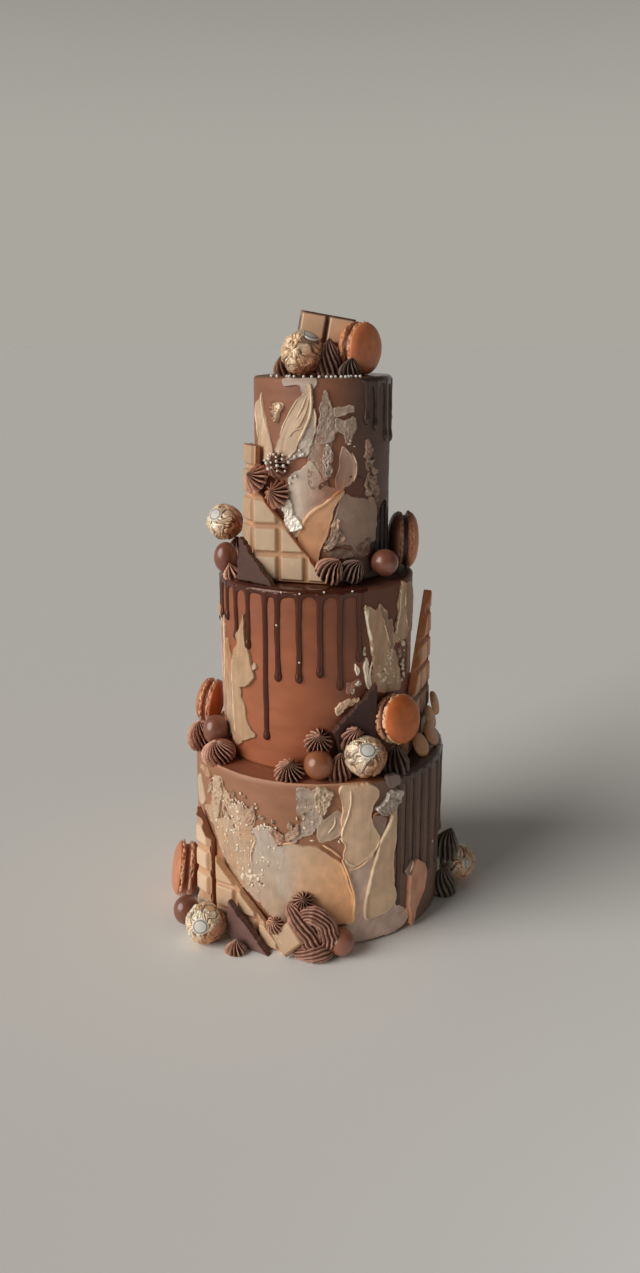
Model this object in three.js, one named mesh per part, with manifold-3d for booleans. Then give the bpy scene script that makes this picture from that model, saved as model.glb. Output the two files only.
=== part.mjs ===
import * as THREE from 'three';
import { mergeVertices } from 'three/addons/utils/BufferGeometryUtils.js';
import Module from 'manifold-3d';

const wasm = await Module();
wasm.setup();

// Driving dimensions in millimetres. Angles are in degrees round the cake: 0 is the front, 90 the right.
const bottomTier = { name: 'tier_bottom', radius: 108, axisX: 0, base: 0, top: 144 };
const middleTier = { name: 'tier_middle', radius: 81, axisX: -1.3, base: 144.3, top: 296 };
const topTier = { name: 'tier_top', radius: 55.3, axisX: 3, base: 296.3, top: 456 };
const tierSides = 48;
const gap = 0.3;
const squarePitch = 22.4;
const slabDepth = 4.4;
const squareRise = 2.6;
const ballRadius = 11.9;
const wrappedRadius = 16;
const shardDepth = 6;
const buttonRadius = 11;
const dripReach = 3;
const smearDepth = 1.5;

// Looks of the parts
const looks = {
  frosting: { color: 0x9e664a, roughness: 0.55, metalness: 0 },
  ganache: { color: 0x5a3a32, roughness: 0.4, metalness: 0 },
  darkChocolate: { color: 0x3a2622, roughness: 0.45, metalness: 0 },
  milkChocolate: { color: 0x7c4a38, roughness: 0.3, metalness: 0 },
  caramelChocolate: { color: 0xd6a878, roughness: 0.45, metalness: 0 },
  foil: { color: 0xc9a578, roughness: 0.35, metalness: 0.6 },
  macaron: { color: 0xb4683c, roughness: 0.6, metalness: 0 },
};

const degrees = Math.PI / 180;

function seededRandom(seed) {
  let state = seed >>> 0;
  return () => {
    state = (state + 0x6d2b79f5) >>> 0;
    let mixed = Math.imul(state ^ (state >>> 15), 1 | state);
    mixed = (mixed + Math.imul(mixed ^ (mixed >>> 7), 61 | mixed)) ^ mixed;
    return ((mixed ^ (mixed >>> 14)) >>> 0) / 4294967296;
  };
}

function solidOf(geometry) {
  const bare = geometry.clone();
  bare.deleteAttribute('normal');
  bare.deleteAttribute('uv');
  const merged = mergeVertices(bare, 1e-4);
  const index = merged.index.array;
  const kept = [];
  for (let i = 0; i < index.length; i += 3) {
    const corners = [index[i], index[i + 1], index[i + 2]];
    if (new Set(corners).size === 3) kept.push(...corners);
  }
  return new wasm.Manifold(new wasm.Mesh({
    numProp: 3,
    vertProperties: new Float32Array(merged.attributes.position.array),
    triVerts: new Uint32Array(kept),
  }));
}

function geometryOf(solid) {
  const mesh = solid.getMesh();
  const geometry = new THREE.BufferGeometry();
  geometry.setAttribute('position', new THREE.BufferAttribute(mesh.vertProperties, 3));
  geometry.setIndex(new THREE.BufferAttribute(mesh.triVerts, 1));
  geometry.computeVertexNormals();
  return geometry;
}

function joined(solids) {
  let sum = solids[0];
  for (const solid of solids.slice(1)) sum = sum.add(solid);
  return sum;
}

function largestPiece(solid) {
  const pieces = solid.decompose();
  pieces.sort((a, b) => b.volume() - a.volume());
  return pieces[0];
}

// Point at a distance from a tier's axis
function around(tier, angle, distance) {
  return {
    x: tier.axisX + distance * Math.sin(angle * degrees),
    y: -distance * Math.cos(angle * degrees),
  };
}

// Local axes: x to the right as seen from outside, y up, z outward
function placement({ x, y, z, face = 0, lean = 0, roll = 0, turn = 0 }) {
  const a = face * degrees;
  const right = new THREE.Vector3(Math.cos(a), Math.sin(a), 0);
  const up = new THREE.Vector3(0, 0, 1);
  const outward = new THREE.Vector3(Math.sin(a), -Math.cos(a), 0);
  return new THREE.Matrix4().makeTranslation(x, y, z)
    .multiply(new THREE.Matrix4().makeBasis(right, up, outward))
    .multiply(new THREE.Matrix4().makeRotationX(lean * degrees))
    .multiply(new THREE.Matrix4().makeRotationZ(roll * degrees))
    .multiply(new THREE.Matrix4().makeRotationY(turn * degrees));
}

function tierCylinder(tier, extra) {
  const height = tier.top - tier.base + 2 * extra;
  const cylinder = new THREE.CylinderGeometry(tier.radius + extra, tier.radius + extra, height, tierSides);
  cylinder.rotateX(Math.PI / 2);
  cylinder.translate(tier.axisX, 0, (tier.top + tier.base) / 2);
  return solidOf(cylinder);
}

// Piped rosette standing on its base, with ridges that wind round it
function rosette({ radius, height, ridges = 6, depth = 0.24, twist = 0.5 }) {
  const profile = [[0, 0], [0.88, 0], [1, 0.3], [0.62, 0.76], [0, 1]];
  const points = profile.map(([r, h]) => new THREE.Vector2(r * radius, h * height));
  const geometry = new THREE.LatheGeometry(points, ridges * 2);
  const place = geometry.attributes.position;
  for (let i = 0; i < place.count; i += 1) {
    const ring = i % points.length;
    const side = Math.floor(i / points.length);
    const inward = side % 2 === 1 && ring > 0 && ring < 4 ? 1 - depth : 1;
    const angle = (side / (ridges * 2)) * 2 * Math.PI + twist * profile[ring][1];
    const reach = points[ring].x * inward;
    place.setXYZ(i, reach * Math.sin(angle), points[ring].y, reach * Math.cos(angle));
  }
  return geometry;
}

function macaron({ radius, thickness }) {
  const half = [[0, 1], [0.6, 0.92], [0.94, 0.62], [0.99, 0.32], [0.9, 0.13]];
  const lower = half.map(([r, h]) => new THREE.Vector2(r * radius, -h * thickness / 2));
  const upper = half.map(([r, h]) => new THREE.Vector2(r * radius, h * thickness / 2)).reverse();
  const geometry = new THREE.LatheGeometry([...lower, ...upper], 14);
  return geometry.rotateX(Math.PI / 2);
}

function ball({ radius, tall = 1 }) {
  return new THREE.SphereGeometry(radius, 12, 8).scale(1, 1, tall);
}

function wrappedBall({ radius, seed }) {
  const random = seededRandom(seed);
  const merged = mergeVertices(new THREE.IcosahedronGeometry(radius, 2).deleteAttribute('normal')
    .deleteAttribute('uv'), 1e-3);
  const place = merged.attributes.position;
  for (let i = 0; i < place.count; i += 1) {
    const swell = 1 + 0.05 * (random() - 0.5);
    place.setXYZ(i, place.getX(i) * swell, place.getY(i) * swell, place.getZ(i) * swell);
  }
  return merged;
}

function button() {
  const profile = [[0, -2], [10, -2], [11, -0.8], [10.2, 1.2], [6.5, 2.2], [0, 2.5]];
  const points = profile.map(([r, h]) => new THREE.Vector2(r * buttonRadius / 11, h));
  return new THREE.LatheGeometry(points, 12).rotateX(Math.PI / 2);
}

function prism(corners, depth) {
  const shape = new THREE.Shape(corners.map(([x, y]) => new THREE.Vector2(x, y)));
  return new THREE.ExtrudeGeometry(shape, { depth, bevelEnabled: false });
}

function sloped(outline, depth) {
  return solidOf(prism(outline, depth + 20).translate(0, 0, -10));
}

// Slab with raised squares on its outer face, cut to an outline
function chocolateBar({ columns, rows, outline }) {
  const width = columns * squarePitch;
  const height = rows * squarePitch;
  const slab = new THREE.BoxGeometry(width, height, slabDepth);
  const solids = [solidOf(slab.translate(width / 2, height / 2, slabDepth / 2))];
  for (let column = 0; column < columns; column += 1) {
    for (let row = 0; row < rows; row += 1) {
      const square = new THREE.CylinderGeometry(12.2, 14.9, squareRise + 0.2, 4, 1);
      square.rotateY(Math.PI / 4).rotateX(Math.PI / 2);
      square.translate((column + 0.5) * squarePitch, (row + 0.5) * squarePitch,
        slabDepth - 0.2 + (squareRise + 0.2) / 2);
      solids.push(solidOf(square));
    }
  }
  const bar = joined(solids);
  return geometryOf(outline ? bar.intersect(sloped(outline, slabDepth)) : bar);
}

// Broken slab: straight edges between the corners, the edge from the first to the second one ragged
function shard({ corners, seed }) {
  const random = seededRandom(seed);
  const [from, to] = corners;
  const outline = [from];
  const steps = 7;
  for (let i = 1; i < steps; i += 1) {
    const t = i / steps;
    const off = 2.6 * (random() - 0.5);
    const slopeX = to[0] - from[0];
    const slopeY = to[1] - from[1];
    const length = Math.hypot(slopeX, slopeY);
    outline.push([from[0] + slopeX * t - slopeY / length * off, from[1] + slopeY * t + slopeX / length * off]);
  }
  outline.push(...corners.slice(1));
  return prism(outline, shardDepth);
}

// Decorations, hard pieces first: what comes later is cut away where it meets them
const pieces = [];

function add(name, look, geometry, spot) {
  pieces.push({ name, look, geometry, spot });
}

// Corner of a flat piece that faces outward, its back at a distance from a tier's axis
const flat = (tier, face, distance, aside, z, more = {}) => {
  const back = around(tier, face, distance);
  return {
    x: back.x + aside * Math.cos(face * degrees),
    y: back.y + aside * Math.sin(face * degrees),
    z,
    face,
    ...more,
  };
};

add('wrapped_top', 'foil', wrappedBall({ radius: 16.9, seed: 11 }), { x: -12.3, y: -22, z: 473.8 });
add('wrapped_middle', 'foil', wrappedBall({ radius: 14.5, seed: 12 }), { x: -80, y: 8, z: 333.5 });
add('wrapped_low', 'foil', wrappedBall({ radius: 16.8, seed: 13 }), { x: 38, y: -92.5, z: 163 });
add('wrapped_base_left', 'foil', wrappedBall({ radius: 16.6, seed: 14 }), { x: -93.8, y: -99.5, z: 16.8 });
add('wrapped_base_right', 'foil', wrappedBall({ radius: wrappedRadius, seed: 15 }), { x: 128.5, y: 8, z: 17 });

add('ball_middle_left', 'milkChocolate', ball({ radius: 10, tall: 1.3 }), { x: -76.8, y: -18, z: 309.8 });
add('ball_middle_right', 'milkChocolate', ball({ radius: 11.2 }), { x: 53.5, y: -42, z: 310.5 });
add('ball_low_left', 'milkChocolate', ball({ radius: ballRadius }), { x: -87.5, y: -36, z: 163.5 });
add('ball_low_front', 'milkChocolate', ball({ radius: 12.1 }), { x: 0.3, y: -95.5, z: 157.2 });
add('ball_base_left', 'milkChocolate', ball({ radius: ballRadius }), { x: -115, y: -67, z: 12.2 });
add('ball_base_front', 'milkChocolate', ball({ radius: 11.5 }), { x: 18.2, y: -119.5, z: 11.8 });

add('macaron_top', 'macaron', macaron({ radius: 20.5, thickness: 21 }), { x: 33, y: -12, z: 477, face: 50 });
add('macaron_middle_right', 'macaron', macaron({ radius: 24, thickness: 25 }),
  flat(topTier, 94, 68.5, 0, 320.5, { lean: 2 }));
add('macaron_low_left', 'macaron', macaron({ radius: 20, thickness: 21 }),
  flat(middleTier, -104, 99, 0, 170, { lean: -8 }));
add('macaron_low_right', 'macaron', macaron({ radius: 19.8, thickness: 22 }),
  { x: 64.5, y: -66, z: 185.5, face: 34, lean: -12 });
add('macaron_low_back', 'macaron', macaron({ radius: 20, thickness: 20 }),
  flat(middleTier, 121, 98, 0, 167, { lean: -8 }));
add('macaron_base_left', 'macaron', macaron({ radius: 23.5, thickness: 23 }),
  { x: -119.5, y: -20, z: 24.5, face: -82, lean: -8 });

add('bar_top', 'caramelChocolate', chocolateBar({ columns: 2, rows: 3 }),
  { x: -25.5, y: 3, z: 440.5, face: 2, lean: -3, roll: -10 });
add('bar_middle_triangle', 'caramelChocolate',
  chocolateBar({ columns: 3, rows: 4, outline: [[0, 0], [63, 0], [3, 74], [0, 74]] }),
  flat(topTier, -15, 56, -41.5, 297.5, { lean: -1 }));
add('bar_middle_tall', 'caramelChocolate', chocolateBar({ columns: 1, rows: 5, outline: [[0, 0], [22.4, 0], [22.4, 107], [0, 107]] }),
  flat(topTier, -66, 62, -11.2, 296.3, { lean: -2 }));
add('bar_low_right', 'caramelChocolate',
  chocolateBar({ columns: 4, rows: 6, outline: [[0, 0], [76, 0], [76, 129], [0, 11]] }),
  flat(middleTier, 71, 81.5, -26, 144.3));
add('bar_base_tall', 'caramelChocolate',
  chocolateBar({ columns: 1, rows: 5, outline: [[0, 0], [22.4, 0], [22.4, 76], [0, 99]] }),
  flat(bottomTier, -52, 110, -24.5, 0.3, { lean: -0.6 }));
add('bar_base_triangle', 'caramelChocolate',
  chocolateBar({ columns: 4, rows: 3, outline: [[0, 0], [74, 0], [0, 67]] }),
  flat(bottomTier, -34, 109.5, -28, 0.3));
add('square_base', 'caramelChocolate', chocolateBar({ columns: 1, rows: 1 }),
  { x: -24, y: -124, z: 1, face: -30, lean: -16, roll: 46 });

add('shard_middle', 'darkChocolate',
  shard({ corners: [[0, 34], [36, 0], [0, 0]], seed: 21 }),
  flat(topTier, -35, 72.5, -29.5, 298, { lean: -4, roll: -3 }));
add('shard_low', 'darkChocolate',
  shard({ corners: [[0, 22], [38, 58], [38, 2], [6, 2]], seed: 22 }),
  flat(middleTier, 22, 82.2, -21, 160));
add('shard_base', 'darkChocolate',
  shard({ corners: [[3, 38], [43, 0], [14, 0], [0, 10]], seed: 23 }),
  flat(bottomTier, -33, 120, -10.5, 0.3));

const buttonSpots = [
  { x: 87, y: -43, z: 153.5, face: 62, lean: -30 },
  { x: 98, y: -20, z: 154.5, face: 70, lean: -30 },
  { x: 98.5, y: -5, z: 164, face: 72, lean: -20 },
  { x: 104, y: 13, z: 171, face: 78, lean: -16 },
];
buttonSpots.forEach((spot, i) => add(`button_${i + 1}`, 'caramelChocolate', button(), spot));

const rosettes = [
  ['top_left', 10, 16, { x: -26, y: -10, z: 456.3, lean: 12, face: -60 }],
  ['top_middle', 10.5, 28, { x: 8, y: -24, z: 456.3 }],
  ['top_right', 9, 14, { x: 24, y: -35, z: 456.3, lean: 12, face: 30 }],
  ['middle_upper', 11, 14, flat(topTier, -50, 65, 0, 377, { lean: 64 })],
  ['middle_lower', 10.5, 14, flat(topTier, -36, 58, 0, 366, { lean: 70 })],
  ['middle_pearled', 9.5, 13, flat(topTier, -37, 57, 0, 389, { lean: 70 })],
  ['middle_ledge', 7.5, 12, { x: -70.5, y: -33, z: 296.6, lean: 14, face: -55 }],
  ['middle_under', 11, 24, { x: -71, y: 16, z: 296.3 }],
  ['middle_front_left', 12.3, 17, { x: 5.8, y: -64, z: 304.8, lean: 42, face: 62 }],
  ['middle_front_right', 10.3, 16, { x: 23.8, y: -58, z: 303.6, lean: 42, face: 56 }],
  ['low_left_outer', 14, 23, { x: -99, y: -22, z: 144.3, face: -75, lean: 8 }],
  ['low_left_inner', 14.5, 19, { x: -83, y: -52, z: 144.3, face: -55, lean: 14 }],
  ['low_upper', 12, 20, { x: 0, y: -84, z: 170, lean: 50 }],
  ['low_front', 12.3, 15, { x: -23, y: -92, z: 146, lean: 24, face: -12 }],
  ['low_middle', 11.5, 20, { x: 26, y: -80, z: 170, lean: 40, face: 16 }],
  ['low_inner', 10.5, 22, { x: 16.5, y: -91, z: 144.3, lean: 10, face: 12 }],
  ['low_right', 12.5, 22, { x: 63, y: -77, z: 144.3, face: 40 }],
  ['base_small', 9, 13, { x: -68, y: -116, z: 0.3, face: -30 }],
  ['base_pearled', 8.2, 12, { x: -34.5, y: -115, z: 23.5, lean: 42, face: -18 }],
  ['piping_left', 12, 38, { x: -15, y: -118, z: 0.3 }],
  ['piping_right', 14, 34, { x: 5, y: -117, z: 0.3 }],
  ['piping_star', 12, 18, { x: -12, y: -108, z: 40, lean: 50, face: -6 }],
  ['piping_foot', 11, 11, { x: -6, y: -126, z: 0.3 }],
  ['base_right', 11.5, 25, { x: 113.5, y: -19, z: 0.3, face: 80 }],
  ['base_back', 12.5, 26, { x: 114, y: 0, z: 28, lean: 16, face: 90 }],
];
for (const [name, radius, height, spot] of rosettes) {
  add(`rosette_${name}`, 'ganache', rosette({ radius, height }), spot);
}

function grown(geometry) {
  const larger = geometry.clone();
  larger.computeBoundingBox();
  const middle = larger.boundingBox.getCenter(new THREE.Vector3());
  const size = larger.boundingBox.getSize(new THREE.Vector3());
  larger.translate(-middle.x, -middle.y, -middle.z);
  larger.scale((size.x + 2 * gap) / size.x, (size.y + 2 * gap) / size.y, (size.z + 2 * gap) / size.z);
  return larger.translate(middle.x, middle.y, middle.z);
}

const tiers = [bottomTier, middleTier, topTier];
let taken = joined(tiers.map((tier) => tierCylinder(tier, gap)));
const decorations = [];
let covering = null;
for (const piece of pieces) {
  const matrix = placement(piece.spot);
  const own = solidOf(piece.geometry.clone().applyMatrix4(matrix));
  const room = solidOf(grown(piece.geometry).applyMatrix4(matrix)).add(own);
  decorations.push({ ...piece, solid: largestPiece(own.subtract(taken)) });
  taken = taken.add(room);
  covering = covering ? covering.add(room) : room;
}

// Soft outline with a slightly uneven edge, longer than wide or wider than long
function smearOutline({ width, height, turn = 0, pointed = 0, seed }) {
  const random = seededRandom(seed);
  const corners = [];
  const count = 10;
  for (let i = 0; i < count; i += 1) {
    const angle = (i / count) * 2 * Math.PI;
    const narrow = 1 - pointed * Math.max(0, Math.sin(angle));
    const uneven = 1 + 0.14 * (random() - 0.5);
    const x = (width / 2) * Math.cos(angle) * narrow * uneven;
    const y = (height / 2) * Math.sin(angle) * uneven;
    const t = turn * degrees;
    corners.push([x * Math.cos(t) - y * Math.sin(t), x * Math.sin(t) + y * Math.cos(t)]);
  }
  return corners;
}

function smear(tier, { angle, z, depth = smearDepth, ...form }) {
  const block = prism(smearOutline(form), 16);
  const spot = { ...around(tier, angle, tier.radius - 10), z, face: angle };
  const shell = { ...tier, radius: tier.radius + depth, base: tier.base + 0.5, top: tier.top - 0.5 };
  return solidOf(block.applyMatrix4(placement(spot))).intersect(tierCylinder(shell, 0));
}

function drip(tier, angle, length) {
  const top = tier.top - 2;
  const bottom = tier.top - length;
  const profile = [[0, bottom], [2.6, bottom + 1.2], [3.1, bottom + 4], [2.4, bottom + 10], [2.7, top - 1],
    [0, top]];
  const points = profile.map(([r, h]) => new THREE.Vector2(r * dripReach / 3, h));
  const geometry = new THREE.LatheGeometry(points, 6).rotateX(Math.PI / 2);
  const spot = around(tier, angle, tier.radius - 0.9);
  return solidOf(geometry.rotateZ(angle * degrees).translate(spot.x, spot.y, 0));
}

function band(tier, from, to) {
  const corners = [];
  const steps = Math.round((to - from) / 7.5);
  const reach = tier.radius + 1.4;
  for (let i = 0; i <= steps; i += 1) {
    const at = around(tier, from + ((to - from) * i) / steps, reach);
    corners.push([at.x, at.y]);
  }
  for (let i = steps; i >= 0; i -= 1) {
    const at = around(tier, from + ((to - from) * i) / steps, tier.radius - 4);
    corners.push([at.x, at.y]);
  }
  return solidOf(prism(corners, 6).translate(0, 0, tier.top - 6.4));
}

// Drips: the stretch of edge that the ganache covers, and each drip's angle and length
const ganache = [
  {
    tier: topTier, from: 33, to: 152,
    drips: [[39, 36], [49, 41], [65, 50], [80, 52], [96, 38], [112, 46], [128, 33], [144, 42]],
  },
  {
    tier: middleTier, from: -170, to: 30,
    drips: [[-162, 48], [-147, 66], [-132, 52], [-117, 72], [-101, 56], [-85, 44],
      [-75, 38], [-65, 36], [-54, 49], [-43, 54], [-30.3, 128], [-22.6, 76], [-10.1, 76], [1.8, 71], [13.3, 82],
      [24, 38]],
  },
  {
    tier: bottomTier, from: 29, to: 168,
    drips: [[37.8, 119], [42.8, 93], [48, 88], [54, 107], [61, 103], [71, 105], [82, 84], [95, 96], [108, 72],
      [122, 90], [136, 64], [150, 80], [163, 58]],
  },
];

// Palette-knife strokes on each tier
const smears = [
  { tier: topTier, angle: -52, z: 414, width: 13, height: 62, turn: -8, pointed: 0.5 },
  { tier: topTier, angle: -27, z: 421, width: 20, height: 70, turn: -22, pointed: 0.6, depth: 2.2 },
  { tier: topTier, angle: 0, z: 416, width: 11, height: 64, turn: 0 },
  { tier: topTier, angle: 17, z: 422, width: 16, height: 40, turn: -14 },
  { tier: topTier, angle: -4, z: 367, width: 32, height: 46, turn: 8 },
  { tier: topTier, angle: 0, z: 340, width: 38, height: 70, turn: -36, pointed: 0.7, depth: 2 },
  { tier: topTier, angle: 30, z: 348, width: 34, height: 50, turn: 0 },
  { tier: middleTier, angle: -44, z: 236, width: 24, height: 66, turn: -6, pointed: 0.5, depth: 2.2 },
  { tier: middleTier, angle: -46, z: 183, width: 22, height: 50, turn: 10, depth: 2 },
  { tier: middleTier, angle: 37, z: 238, width: 26, height: 82, turn: 8, depth: 2 },
  { tier: middleTier, angle: 62, z: 262, width: 20, height: 64, turn: -10, pointed: 0.4 },
  { tier: bottomTier, angle: -18, z: 74, width: 30, height: 66, turn: 6 },
  { tier: bottomTier, angle: -1, z: 58, width: 62, height: 66, turn: -18, depth: 2.4 },
  { tier: bottomTier, angle: 15, z: 104, width: 42, height: 76, turn: -8, depth: 2.6 },
  { tier: bottomTier, angle: 29, z: 62, width: 26, height: 98, turn: -6, depth: 2.2 },
  { tier: bottomTier, angle: 49, z: 33, width: 18, height: 46, turn: -12, pointed: 0.6 },
];

// The far side carries strokes of the same kind, laid out evenly
const farStrokes = [
  { tier: topTier, angles: [-158, -112], from: 346, step: 46, width: 26, height: 70 },
  { tier: middleTier, angles: [-118, 112, 160], from: 196, step: 24, width: 30, height: 72 },
  { tier: bottomTier, angles: [-152, -114], from: 60, step: 26, width: 48, height: 68 },
];
for (const { tier, angles, from, step, width, height } of farStrokes) {
  angles.forEach((angle, i) => smears.push({
    tier, angle, z: from + step * (i % 3), width, height, turn: 24 - 21 * (i % 4), pointed: 0.3, depth: 1.8,
  }));
}

function finishedTier(tier) {
  const relief = [];
  for (const run of ganache.filter((each) => each.tier === tier)) {
    for (const [angle, length] of run.drips) relief.push(drip(tier, angle, length));
    relief.push(band(tier, run.from, run.to));
  }
  smears.forEach((stroke, i) => {
    if (stroke.tier === tier) relief.push(smear(tier, { ...stroke, seed: 40 + i }));
  });
  const clear = joined(relief).subtract(covering);
  return largestPiece(tierCylinder(tier, 0).add(clear));
}

const group = new THREE.Group();
group.name = 'drip_cake';

function addMesh(name, look, solid) {
  const mesh = new THREE.Mesh(geometryOf(solid), new THREE.MeshStandardMaterial(looks[look]));
  mesh.name = name;
  group.add(mesh);
}

for (const tier of tiers) addMesh(tier.name, 'frosting', finishedTier(tier));
for (const { name, look, solid } of decorations) addMesh(name, look, solid);

export default group;
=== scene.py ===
import bpy
import numpy as np
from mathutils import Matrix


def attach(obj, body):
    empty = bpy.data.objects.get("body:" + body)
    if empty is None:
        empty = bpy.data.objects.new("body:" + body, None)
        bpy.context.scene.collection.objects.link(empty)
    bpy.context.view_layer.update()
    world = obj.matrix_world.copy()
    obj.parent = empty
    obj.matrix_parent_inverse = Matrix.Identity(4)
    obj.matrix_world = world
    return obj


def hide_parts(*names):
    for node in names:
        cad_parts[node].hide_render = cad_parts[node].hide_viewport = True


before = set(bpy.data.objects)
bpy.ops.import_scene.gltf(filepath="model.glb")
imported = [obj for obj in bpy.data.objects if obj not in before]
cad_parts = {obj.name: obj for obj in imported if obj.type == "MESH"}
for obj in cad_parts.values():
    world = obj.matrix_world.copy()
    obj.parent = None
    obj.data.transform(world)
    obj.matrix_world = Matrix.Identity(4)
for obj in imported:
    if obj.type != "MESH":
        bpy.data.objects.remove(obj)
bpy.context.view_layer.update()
scene = bpy.context.scene

# Sizes are in millimetres until a mesh is written. Angles go round the cake: 0 is the front, 90 the right.
metre = 0.001
bottomTier = {"radius": 108.0, "axisX": 0.0, "base": 0.0, "top": 144.0}
middleTier = {"radius": 81.0, "axisX": -1.3, "base": 144.3, "top": 296.0}
topTier = {"radius": 55.3, "axisX": 3.0, "base": 296.3, "top": 456.0}
squarePitch = 22.4


def light(red, green, blue):
    # screen colour from 0 to 255, turned into the light values that a shader mixes
    share = np.array([red, green, blue]) / 255.0
    return np.where(share <= 0.04045, share / 12.92, ((share + 0.055) / 1.055) ** 2.4)


def grain(points, size, seed):
    # smooth random heights from -1 to 1: hashed numbers at the corners of a lattice, blended by 3f^2 - 2f^3
    spot = np.asarray(points, float) / size
    cell = np.floor(spot).astype(np.int64)
    part = spot - cell
    part = part * part * (3 - 2 * part)
    total = np.zeros(spot.shape[:-1])
    for corner in range(8):
        step = np.array([corner & 1, (corner >> 1) & 1, (corner >> 2) & 1])
        c = cell + step
        mixed = (c[..., 0] * 73856093) ^ (c[..., 1] * 19349663) ^ (c[..., 2] * 83492791) ^ (seed * 26544357)
        mixed = ((mixed ^ (mixed >> 13)) * 1274126177) & 0xFFFFFFFF
        height = ((mixed ^ (mixed >> 16)) & 0xFFFF) / 32767.5 - 1
        total += height * np.prod(np.where(step, part, 1 - part), axis=-1)
    return total


def cloudy(points, size, seed, layers=3):
    # grain at sizes that halve, each layer half as strong
    total = sum(grain(points, size / 2 ** i, seed + i) / 2 ** i for i in range(layers))
    return total / (2 - 2 ** (1 - layers))


def uneven(values, share, points, size, seed, layers=3):
    # the same values, raised and lowered by a share that follows a cloudy pattern
    return values * (1 + share * cloudy(points, size, seed, layers))[..., None]


def smooth(low, high, value):
    # 0 below low, 1 above high, 3t^2 - 2t^3 between them
    t = np.clip((value - low) / (high - low), 0, 1)
    return t * t * (3 - 2 * t)


def mixTones(first, second, share):
    # share 0 gives the first tone, 1 the second
    share = np.clip(np.asarray(share), 0, 1)[..., None]
    return first * (1 - share) + second * share


def curveThrough(corners, step, closed):
    # smooth curve through the corners b and c, steered by their neighbours a and d: half of
    # 2b + (c - a)t + (2a - 5b + 4c - d)t^2 + (3b - a - 3c + d)t^3; sampled again at even distances along it
    p = np.asarray(corners, float)
    if closed:
        a, b, c, d = np.roll(p, 1, 0), p, np.roll(p, -1, 0), np.roll(p, -2, 0)
    else:
        ends = np.vstack([2 * p[0] - p[1], p, 2 * p[-1] - p[-2]])
        a, b, c, d = ends[:-3], ends[1:-2], ends[2:-1], ends[3:]
    a, b, c, d = (each[:, None] for each in (a, b, c, d))
    t = np.linspace(0, 1, 16, endpoint=False)[None, :, None]
    square, cube = 2 * a - 5 * b + 4 * c - d, 3 * b - a - 3 * c + d
    dense = 0.5 * (2 * b + (c - a) * t + square * t ** 2 + cube * t ** 3)
    dense = np.vstack([dense.reshape(-1, p.shape[1]), p[:1] if closed else p[-1:]])
    walked = np.concatenate([[0], np.cumsum(np.linalg.norm(np.diff(dense, axis=0), axis=1))])
    count = max(10, int(walked[-1] / step))
    at = np.linspace(0, walked[-1], count, endpoint=not closed)
    return np.stack([np.interp(at, walked, dense[:, i]) for i in range(p.shape[1])], -1)


def circle(sides):
    # the angles of a full round, as one row
    return np.linspace(0, 2 * np.pi, sides, endpoint=False)[None]


def unit(ways):
    # the same directions, each of length one
    return ways / np.linalg.norm(ways, axis=-1, keepdims=True)


def line(values):
    # numbers laid along a line, where grain reads them
    return np.stack([values, 0 * values, 0 * values], -1)


def marked(points, mark):
    # flat points with the same third number, which gives each piece a grain of its own
    return np.concatenate([points, np.full((*points.shape[:-1], 1), mark)], -1)


def toward(points, degrees):
    # how far flat points lie in a direction
    way = np.radians(degrees)
    return points @ [np.cos(way), np.sin(way)]


def lathed(reach, height, turn):
    # a profile carried round the upright axis
    return np.stack([reach * np.cos(turn), reach * np.sin(turn), height + 0 * turn], -1)


def about(axisX, reach, angle, height):
    # points at a reach from the cake's axis, their angle counted from the front
    return np.stack([axisX + reach * np.sin(angle), -reach * np.cos(angle), height + 0 * angle], -1)


def placed(points, spot):
    # local axes: x to the right as seen from outside, y up, z outward; lean, roll and turn come before them
    face, lean, roll, turn = (np.radians(spot.get(word, 0)) for word in ("face", "lean", "roll", "turn"))
    ca, sa, cl, sl, cr, sr, ct, st = (f(v) for v in (face, lean, roll, turn) for f in (np.cos, np.sin))
    basis = np.array([[ca, 0, sa], [sa, 0, -ca], [0, 1, 0]])
    leaned = np.array([[1, 0, 0], [0, cl, -sl], [0, sl, cl]])
    rolled = np.array([[cr, -sr, 0], [sr, cr, 0], [0, 0, 1]])
    turned = np.array([[ct, 0, st], [0, 1, 0], [-st, 0, ct]])
    return points @ (basis @ leaned @ rolled @ turned).T + np.array([spot["x"], spot["y"], spot["z"]])


def flat(tier, face, distance, aside, z, **more):
    # a place whose back is at a distance from the tier's axis, moved aside along the side
    a = np.radians(face)
    x = tier["axisX"] + distance * np.sin(a) + aside * np.cos(a)
    return {"x": x, "y": -distance * np.cos(a) + aside * np.sin(a), "z": z, "face": face, **more}


def unrolled(tier, corners):
    # (angle, height) corners laid flat: distance across = angle * radius
    corners = np.array(corners, float)
    corners[:, 0] = np.radians(corners[:, 0]) * tier["radius"]
    return corners


def onTier(tier, across, up, height):
    # a flat sheet rolled round the tier: angle = distance across / radius, reach = radius + height
    return about(tier["axisX"], tier["radius"] + height, across / tier["radius"], up)


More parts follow.
